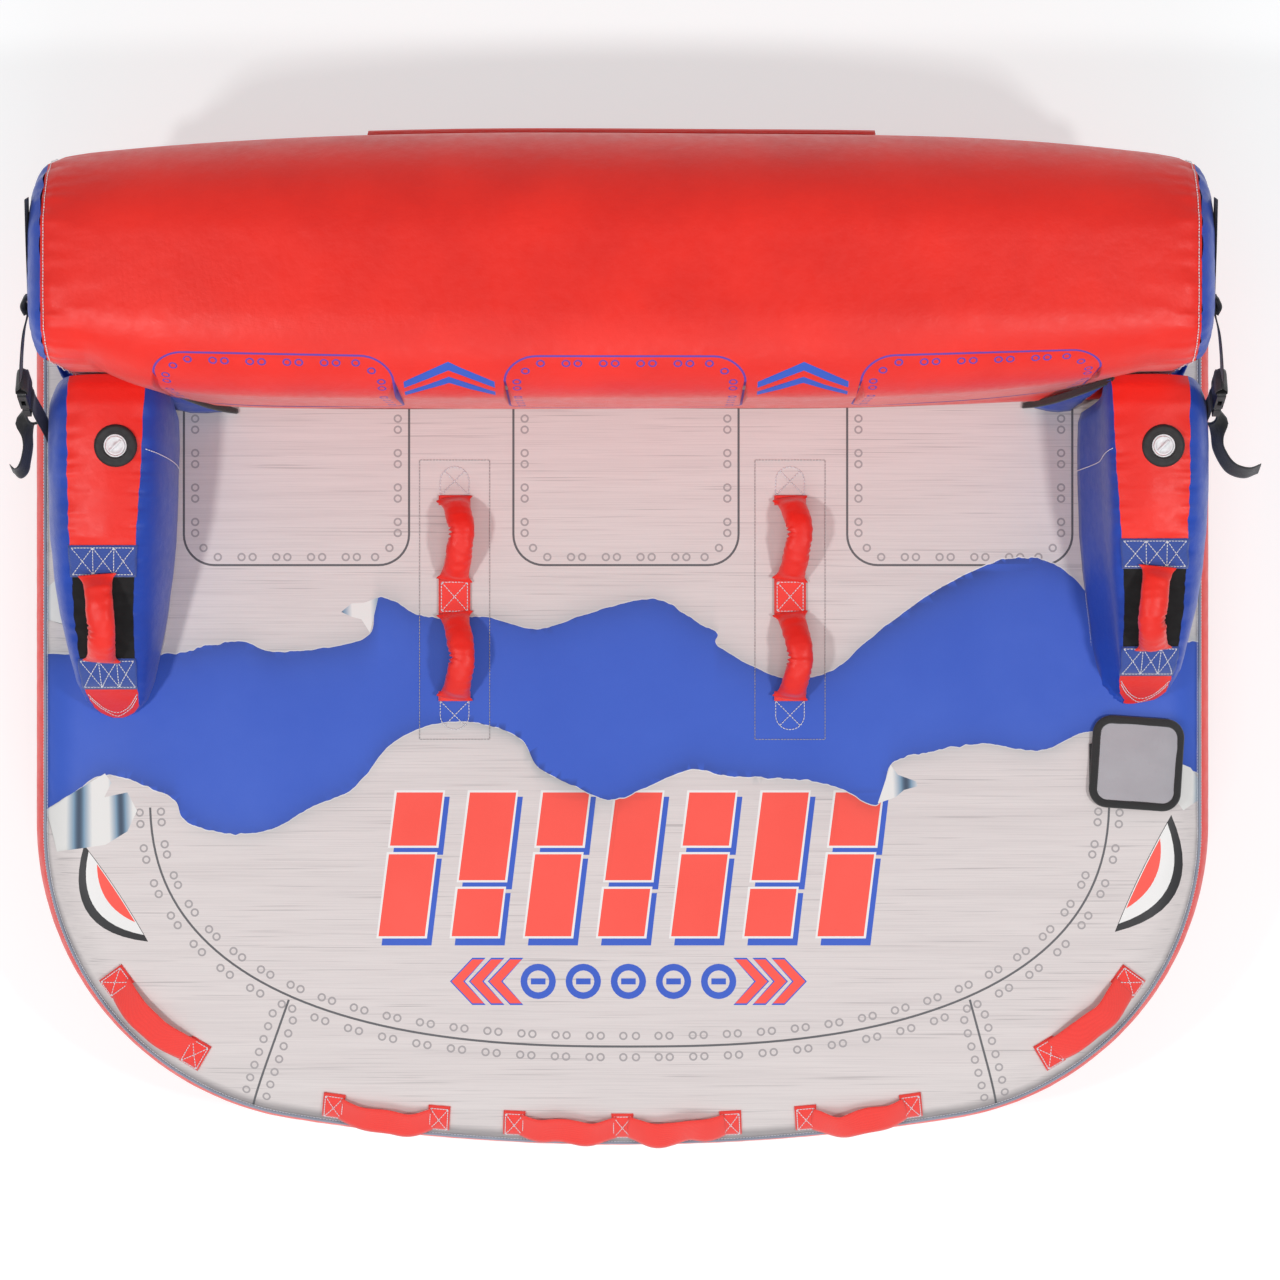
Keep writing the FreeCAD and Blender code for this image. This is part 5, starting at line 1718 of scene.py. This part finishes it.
def make_gussets():
    """Bound cloth triangle that ties each arm's inner rear corner down to the deck."""
    cloth, tapes = [], []
    for sign in (-1, 1):
        x = sign * ARM_X
        inner = 1.0 if sign > 0 else 2.0
        top = arm_spot(x, ARM_REAR - 0.004, inner, 0.0015)
        foot = Vector((x - sign * 0.093, 0.395, DECK_TOP + 0.004))
        reach, y_tip = (0.160, 0.4030) if sign > 0 else (0.185, 0.3940)
        tip = Vector((x - sign * reach, y_tip, DECK_TOP + 0.006))
        rows, lanes = 14, 8
        grid = []
        for i in range(rows + 1):
            t = i / rows
            outer_edge, inner_edge = top.lerp(tip, t), top.lerp(foot, t)
            for k in range(lanes):
                s = k / (lanes - 1)
                sag = 0.007 * math.sin(math.pi * s) * math.sin(math.pi * min(t, 0.75))
                ripple = 0.0015 * noise.noise(Vector((t * 9, s * 5, sign)))
                grid.append(outer_edge.lerp(inner_edge, s) + Vector((0, -sag - ripple, 0)))
        piece = add_object(f"gusset_{sign}", grid, net_faces(rows + 1, lanes), ["blue"])
        cloth.append(thicken(piece, 0.0016))
        bow = Vector((-sign * 0.003, -0.005, 0.006))
        ends = top + Vector((sign * 0.004, 0, 0.002)), tip + Vector((-sign * 0.010, -0.001, 0))
        edge = catmull([ends[0], top.lerp(tip, 0.3) + bow, top.lerp(tip, 0.7) + bow, ends[1]], 12)
        widths = [(0.0, 0.010), (0.25, 0.012), (0.65, 0.013), (0.9, 0.012), (1.0, 0.009)]
        tapes.append(sweep(f"gusset_tape_{sign}", edge, Vector((0, -1, 0.35)),
                           lambda t: strap_section(ramp(t, widths), 0.0055, 0.001), "binding"))
    settle(join("gusset_cloth", cloth), "deck", "blue_fabric", "arm_gussets")
    settle(join("gusset_tape", tapes), "deck", "black_binding", "gusset_bindings")


# ---------------------------------------------------------------- valves and hardware


COLLAR_RIBBED = [
    (0.0178, -0.006), (0.0180, 0.0015), (0.0196, 0.0040), (0.0222, 0.0046), (0.0236, 0.0036),
    (0.0255, 0.0048), (0.0272, 0.0038), (0.0290, 0.0047), (0.0306, 0.0036), (0.0326, 0.0028),
    (0.0338, 0.0008), (0.0340, -0.004),
]
COLLAR_FLAT = [
    (0.0178, -0.006), (0.0180, 0.0015), (0.0196, 0.0028), (0.0300, 0.0030), (0.0330, 0.0016),
    (0.0340, -0.003),
]
MOUTH = [
    (0.0184, -0.004), (0.0182, 0.0030), (0.0170, 0.0038), (0.0158, 0.0026), (0.0154, -0.0010),
    (0.0152, -0.006),
]
CAP = [
    (0.0151, -0.0030), (0.0150, 0.0026), (0.0141, 0.0034), (0.0124, 0.0034), (0.0116, 0.0020),
    (0.0080, 0.0014), (0.0036, 0.0015), (0.0030, 0.0026), (0.0008, 0.0030), (0.00002, 0.0030),
]
GRIP_RISE = 0.0034


def arm_valve_spot(side):
    """Where the axis an arm's cap turns about comes through the skin, and that axis."""
    turn = joint(f"arm_{side}_cap_turn")
    pivot, axis = Vector(turn["pos_m"]), Vector(turn["axis"]).normalized()
    middle = ARM_X if side == "right" else -ARM_X
    y, v = pivot.y, 1.5
    for _ in range(12):
        spot = arm_spot(middle, y, v)
        aim = pivot + axis * ((spot.z - pivot.z) / axis.z)
        y += aim.y - spot.y
        v += (aim.x - spot.x) / (2 * ramp(y, STRIP_HALF))
    return aim, axis


def valve_cap(name, centre, up):
    """Screwed-in white cap: a dished disc with a raised rim and a grip bar across it."""
    disc = lathe(f"{name}_disc", centre, up, CAP, "valve")
    side = up.orthogonal().normalized()
    grip = []
    for k in range(11):
        t = k / 5 - 1
        grip.append(centre + side * (0.0118 * t) + up * (GRIP_RISE - 0.0012 * t**4))
    section = strap_section(0.0042, 0.0030, 0.0004, 5)
    bar = sweep(f"{name}_bar", grip, side.cross(up), lambda t: section, "valve")
    return join(name, [disc, bar])


def make_valves():
    """Rubber collar, white mouth and cap of the arm, deck and backrest valves."""
    low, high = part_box("deck_valve_cap")
    middle = (low + high) / 2
    deck_spot = Vector((middle.x, middle.y, DECK_TOP + 0.0025))
    spots = {
        "arm_right_cap": (*arm_valve_spot("right"), "arm_right_valve_cap", COLLAR_RIBBED),
        "arm_left_cap": (*arm_valve_spot("left"), "arm_left_valve_cap", COLLAR_RIBBED),
        "deck_cap": (deck_spot, UP, "deck_valve_cap", COLLAR_FLAT),
    }
    collars, mouths = [], []
    for body, (centre, up, node, profile) in spots.items():
        collars.append(lathe(f"collar_{body}", centre, up, profile, "rubber"))
        mouths.append(lathe(f"mouth_{body}", centre, up, MOUTH, "valve"))
        settle(valve_cap(f"{body}_skin", centre, up), body, "valve_plastic", node)
    settle(join("valve_collar_rings", collars), "deck", "collar_plastic", "deck_valve_collars")
    settle(join("valve_mouths", mouths), "deck", "valve_plastic", "deck_valves")

    low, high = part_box("backrest_valve_cap")
    x, z = (low.x + high.x) / 2, (low.z + high.z) / 2
    centre = back_rear_spot(x, z)
    ring = lathe("back_collar_ring", centre, REARWARDS, COLLAR_RIBBED, "rubber")
    settle(ring, "backrest", "collar_plastic", "backrest_valve_collar")
    mouth = lathe("back_valve_mouth", centre, REARWARDS, MOUTH, "valve")
    settle(mouth, "backrest", "valve_plastic", "backrest_valve")
    cap = valve_cap("back_cap_skin", centre, REARWARDS)
    settle(cap, "backrest_cap", "valve_plastic", "backrest_valve_cap")


def back_rear_spot(x, z, lift=0.0):
    """Point on the backrest skin's rear face at height z."""
    rear_start = sum(run_length(run) for run in BACK_RUNS[:4])
    s = rear_start + (BACK_TOP - BACK_RADII["rear_top"]) - z
    p = back_point(x, s)
    return Vector((p.x, p.y + lift, p.z))


def make_back_details():
    """Weather flap over the backrest's zip, its sewn hem, and the cloth hinge under the rear edge."""
    low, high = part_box("backrest_zip_flap")
    hem_low, hem_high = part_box("backrest_zip_flap_hem")
    xs = np.linspace(low.x, high.x, 60)

    def strip(name, rows, key, thickness):
        """Cloth over the rear face: rows are (height, stand-off from the skin)."""
        vertices = [back_rear_spot(float(x), z, off) for z, off in rows for x in xs]
        return thicken(add_object(name, vertices, net_faces(len(rows), len(xs)), [key]), thickness, 0)

    fall = hem_low.z - low.z
    drops = np.linspace(0, 1, 12)
    cover = [(hem_low.z - fall * t, 0.0030 + 0.0072 * min(t / 0.2, 1.0) ** 0.7) for t in drops]
    flap = strip("zip_flap_cloth", cover, "red", 0.0014)
    settle(flap, "zip_flap", "red_fabric", "backrest_zip_flap")
    hem_rows = [(hem_high.z, 0.0014), (hem_high.z - 0.002, 0.0034)]
    hem_rows += [(hem_low.z, 0.0036), (hem_low.z - 0.0006, 0.0020)]
    hem = strip("zip_flap_hem_cloth", hem_rows, "red", 0.0012)
    settle(hem, "backrest", "red_fabric", "backrest_zip_flap_hem")

    lower_low, lower_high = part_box("hinge_strip_lower")
    upper_low, upper_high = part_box("hinge_strip_upper")
    pivot = Vector(joint("backrest_fold")["pos_m"])
    profile = catmull([
        (0, lower_low.y, lower_low.z + 0.001), (0, lower_high.y - 0.010, lower_high.z - 0.003),
        (0, pivot.y + 0.0015, pivot.z), (0, upper_low.y + 0.003, upper_low.z + 0.009),
        (0, upper_high.y, upper_high.z - 0.001),
    ], 8)
    columns = np.linspace(lower_low.x, lower_high.x, 90)
    vertices = []
    for p in profile:
        for x in columns:
            vertices.append((x, p.y + 0.0006 * noise.noise(Vector((x * 30, p.z * 60, 2.0))), p.z))
    hinge = add_object("hinge_cloth", vertices, net_faces(len(profile), len(columns)), ["black_webbing"])
    thicken(hinge, 0.0022, 0)
    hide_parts("hinge_strip_lower", "hinge_strip_upper")
    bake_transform(hinge)


def lathe(name, centre, up, profile, key, steps=48):
    """Turned shape: profile gives (radius, height along up) from its outer foot inwards."""
    side = up.orthogonal().normalized()
    other = up.cross(side)
    vertices = []
    for r, h in profile:
        for k in range(steps):
            a = 2 * math.pi * k / steps
            vertices.append(centre + side * (r * math.cos(a)) + other * (r * math.sin(a)) + up * h)
    return add_object(name, vertices, net_faces(len(profile), steps, loop_lanes=True), [key])


KEPT = {
    "rubber": ["tow_pad"],
    "buckle": ["buckle_plugs", "buckle_sockets"],
    "metal": ["tow_eye"],
    "zip_metal": ["backrest_zip_slider", "deck_zip_slider"],
    "black_webbing": ["backrest_zipper", "deck_zipper"],
    "vinyl": ["deck_bladder"],
}


def dress_cad_nodes():
    for key, names in KEPT.items():
        for name in names:
            node = frame["nodes"][name]
            node.data.materials.clear()
            node.data.materials.append(MATS[key])
            if key in ("buckle", "metal", "zip_metal", "rubber"):
                edge = node.modifiers.new("edges", "BEVEL")
                edge.width = 0.0009
                edge.segments = 2
                edge.limit_method = "ANGLE"
                edge.angle_limit = math.radians(35)


# ---------------------------------------------------------------- side straps


def make_side_straps():
    lower, upper = [], []
    for sign in (-1, 1):
        def at(x, y, z):
            return Vector((sign * x, y, z))

        flare = 1.0 if sign > 0 else 0.42
        across = Vector((0, 0.9104, -0.4137))
        flat = strap_section(0.038, 0.0019)
        load = catmull([at(0.9296, 0.3330, 0.312), at(0.9300, 0.3560, 0.362), at(0.9335, 0.374, 0.400),
                        at(0.9376, 0.391, 0.4395), at(0.9376, 0.4000, 0.4595)], 10)
        curl = [(0.0, 0.360, 0.412), (0.008, 0.325, 0.392), (0.0275, 0.297, 0.384), (0.0535, 0.288, 0.380),
                (0.0755, 0.295, 0.377)]
        tail = catmull([at(0.9524, 0.4000, 0.4595), at(0.9528, 0.388, 0.4380),
                        *(at(0.9545 + out * flare, y, z) for out, y, z in curl)], 10)
        edge = Vector((sign * 0.10, 0.42, 0.90))
        turned = [across.lerp(edge, min(k / 26, 1.0)) for k in range(len(tail))]
        turn = catmull([at(0.9376, 0.4000, 0.4595), at(0.9400, 0.4012, 0.4622), at(0.9450, 0.4012, 0.4622),
                        at(0.9500, 0.4012, 0.4622), at(0.9524, 0.4000, 0.4595)], 6)
        for k, (path, ways) in enumerate(((load, across), (tail, turned), (turn, across))):
            lower.append(sweep(f"strap_low_{sign}_{k}", path, ways, lambda t: flat, "black_webbing"))
        run = catmull([at(0.9450, 0.4300, 0.5250), at(0.9405, 0.462, 0.5440), at(0.9330, 0.500, 0.566),
                       at(0.9235, 0.530, 0.580), at(0.9205, 0.560, 0.589), at(0.9195, 0.640, 0.610),
                       at(0.9185, 0.700, 0.6250)], 10)
        sides = [Vector((0, -0.50, 0.86))] * len(run)
        upper.append(sweep(f"strap_high_{sign}", run, sides, lambda t: flat, "black_webbing"))
        fold = catmull([at(0.925, 0.528, 0.5806), at(0.930, 0.540, 0.5845), at(0.925, 0.552, 0.588)], 8)
        upper.append(sweep(f"strap_fold_{sign}", fold, Vector((0, -0.35, 0.94)),
                           lambda t: strap_section(0.042, 0.006, 0.001), "black_webbing"))
        wrap = catmull([at(0.9450, 0.4300, 0.5250), at(0.9530, 0.4262, 0.5160), at(0.9534, 0.4225, 0.5085),
                        at(0.9450, 0.4222, 0.5080), at(0.9366, 0.4225, 0.5085), at(0.9370, 0.4262, 0.5160),
                        at(0.9445, 0.4296, 0.5242)], 6)
        upper.append(sweep(f"strap_bight_{sign}", wrap, across, lambda t: flat, "black_webbing"))
    settle(join("side_strap_lower_webbing", lower), "deck", "black_webbing", "side_straps_lower")
    settle(join("side_strap_upper_webbing", upper), "backrest", "black_webbing", "side_straps_upper")


# ---------------------------------------------------------------- stage


FLOOR_HALF, FLOOR_GAP = 14.0, 0.0005
WORLD_COLOUR, WORLD_STRENGTH = (0.95, 0.97, 1.0, 1), 0.38


def make_stage():
    n = Nodes("pale_floor")
    speck = n.span(n.noise(3.0, 3.0), 0.3, 0.7)
    pale = n.mix(n.math("MULTIPLY", speck, 0.1), (0.60, 0.61, 0.61, 1), (0.58, 0.59, 0.59, 1))
    material = n.finish(pale, 0.9, Emission_Color=(0.98, 1.0, 1.0, 1.0), Emission_Strength=0.52)
    mesh = bpy.data.meshes.new("floor")
    half = FLOOR_HALF
    corners = [(-half, -half, 0), (half, -half, 0), (half, half, 0), (-half, half, 0)]
    mesh.from_pydata(corners, [], [(0, 1, 2, 3)])
    mesh.materials.append(material)
    floor = bpy.data.objects.new("floor", mesh)
    floor.location.z = -FLOOR_GAP
    bpy.context.scene.collection.objects.link(floor)


def make_lights():
    for name, place, size, power in (
        ("left_soft", (-2.4, -0.7, 4.2), 0.35, 62),
        ("right_soft", (2.4, -0.7, 4.2), 0.35, 62),
        ("front_fill", (0.0, -3.6, 3.8), 1.6, 45),
    ):
        data = bpy.data.lights.new(name, "AREA")
        data.size = size
        data.energy = power
        lamp = bpy.data.objects.new(name, data)
        lamp.location = place
        aim = Vector((0, 0, 0.2)) - Vector(place)
        lamp.rotation_euler = aim.to_track_quat("-Z", "Y").to_euler()
        bpy.context.scene.collection.objects.link(lamp)
    world = bpy.data.worlds.new("studio")
    bpy.context.scene.world = world
    world.use_nodes = True
    background = world.node_tree.nodes["Background"]
    background.inputs[0].default_value = WORLD_COLOUR
    background.inputs[1].default_value = WORLD_STRENGTH


CAMERA_SPOT, CAMERA_RISE, CAMERA_LENS = (0.029, 0.018), 5.7, 97.7


def make_camera():
    data = bpy.data.cameras.new("camera")
    data.sensor_width = 36
    data.lens = CAMERA_LENS
    camera = bpy.data.objects.new("camera", data)
    camera.location = (*CAMERA_SPOT, DECK_TOP + CAMERA_RISE)
    bpy.context.scene.collection.objects.link(camera)
    bpy.context.scene.camera = camera
    bpy.context.scene.view_settings.view_transform = "Standard"


# ---------------------------------------------------------------- build

make_camera()
make_deck()
make_backrest()
for arm_side, arm_middle in (("left", -ARM_X), ("right", ARM_X)):
    make_arm(arm_side, arm_middle)
make_bladders()
make_arm_handles()
make_seat_handles()
make_rim_straps()
make_valve_flap()
make_gussets()
make_valves()
make_back_details()
make_side_straps()
make_threads()
dress_cad_nodes()
make_stage()
make_lights()
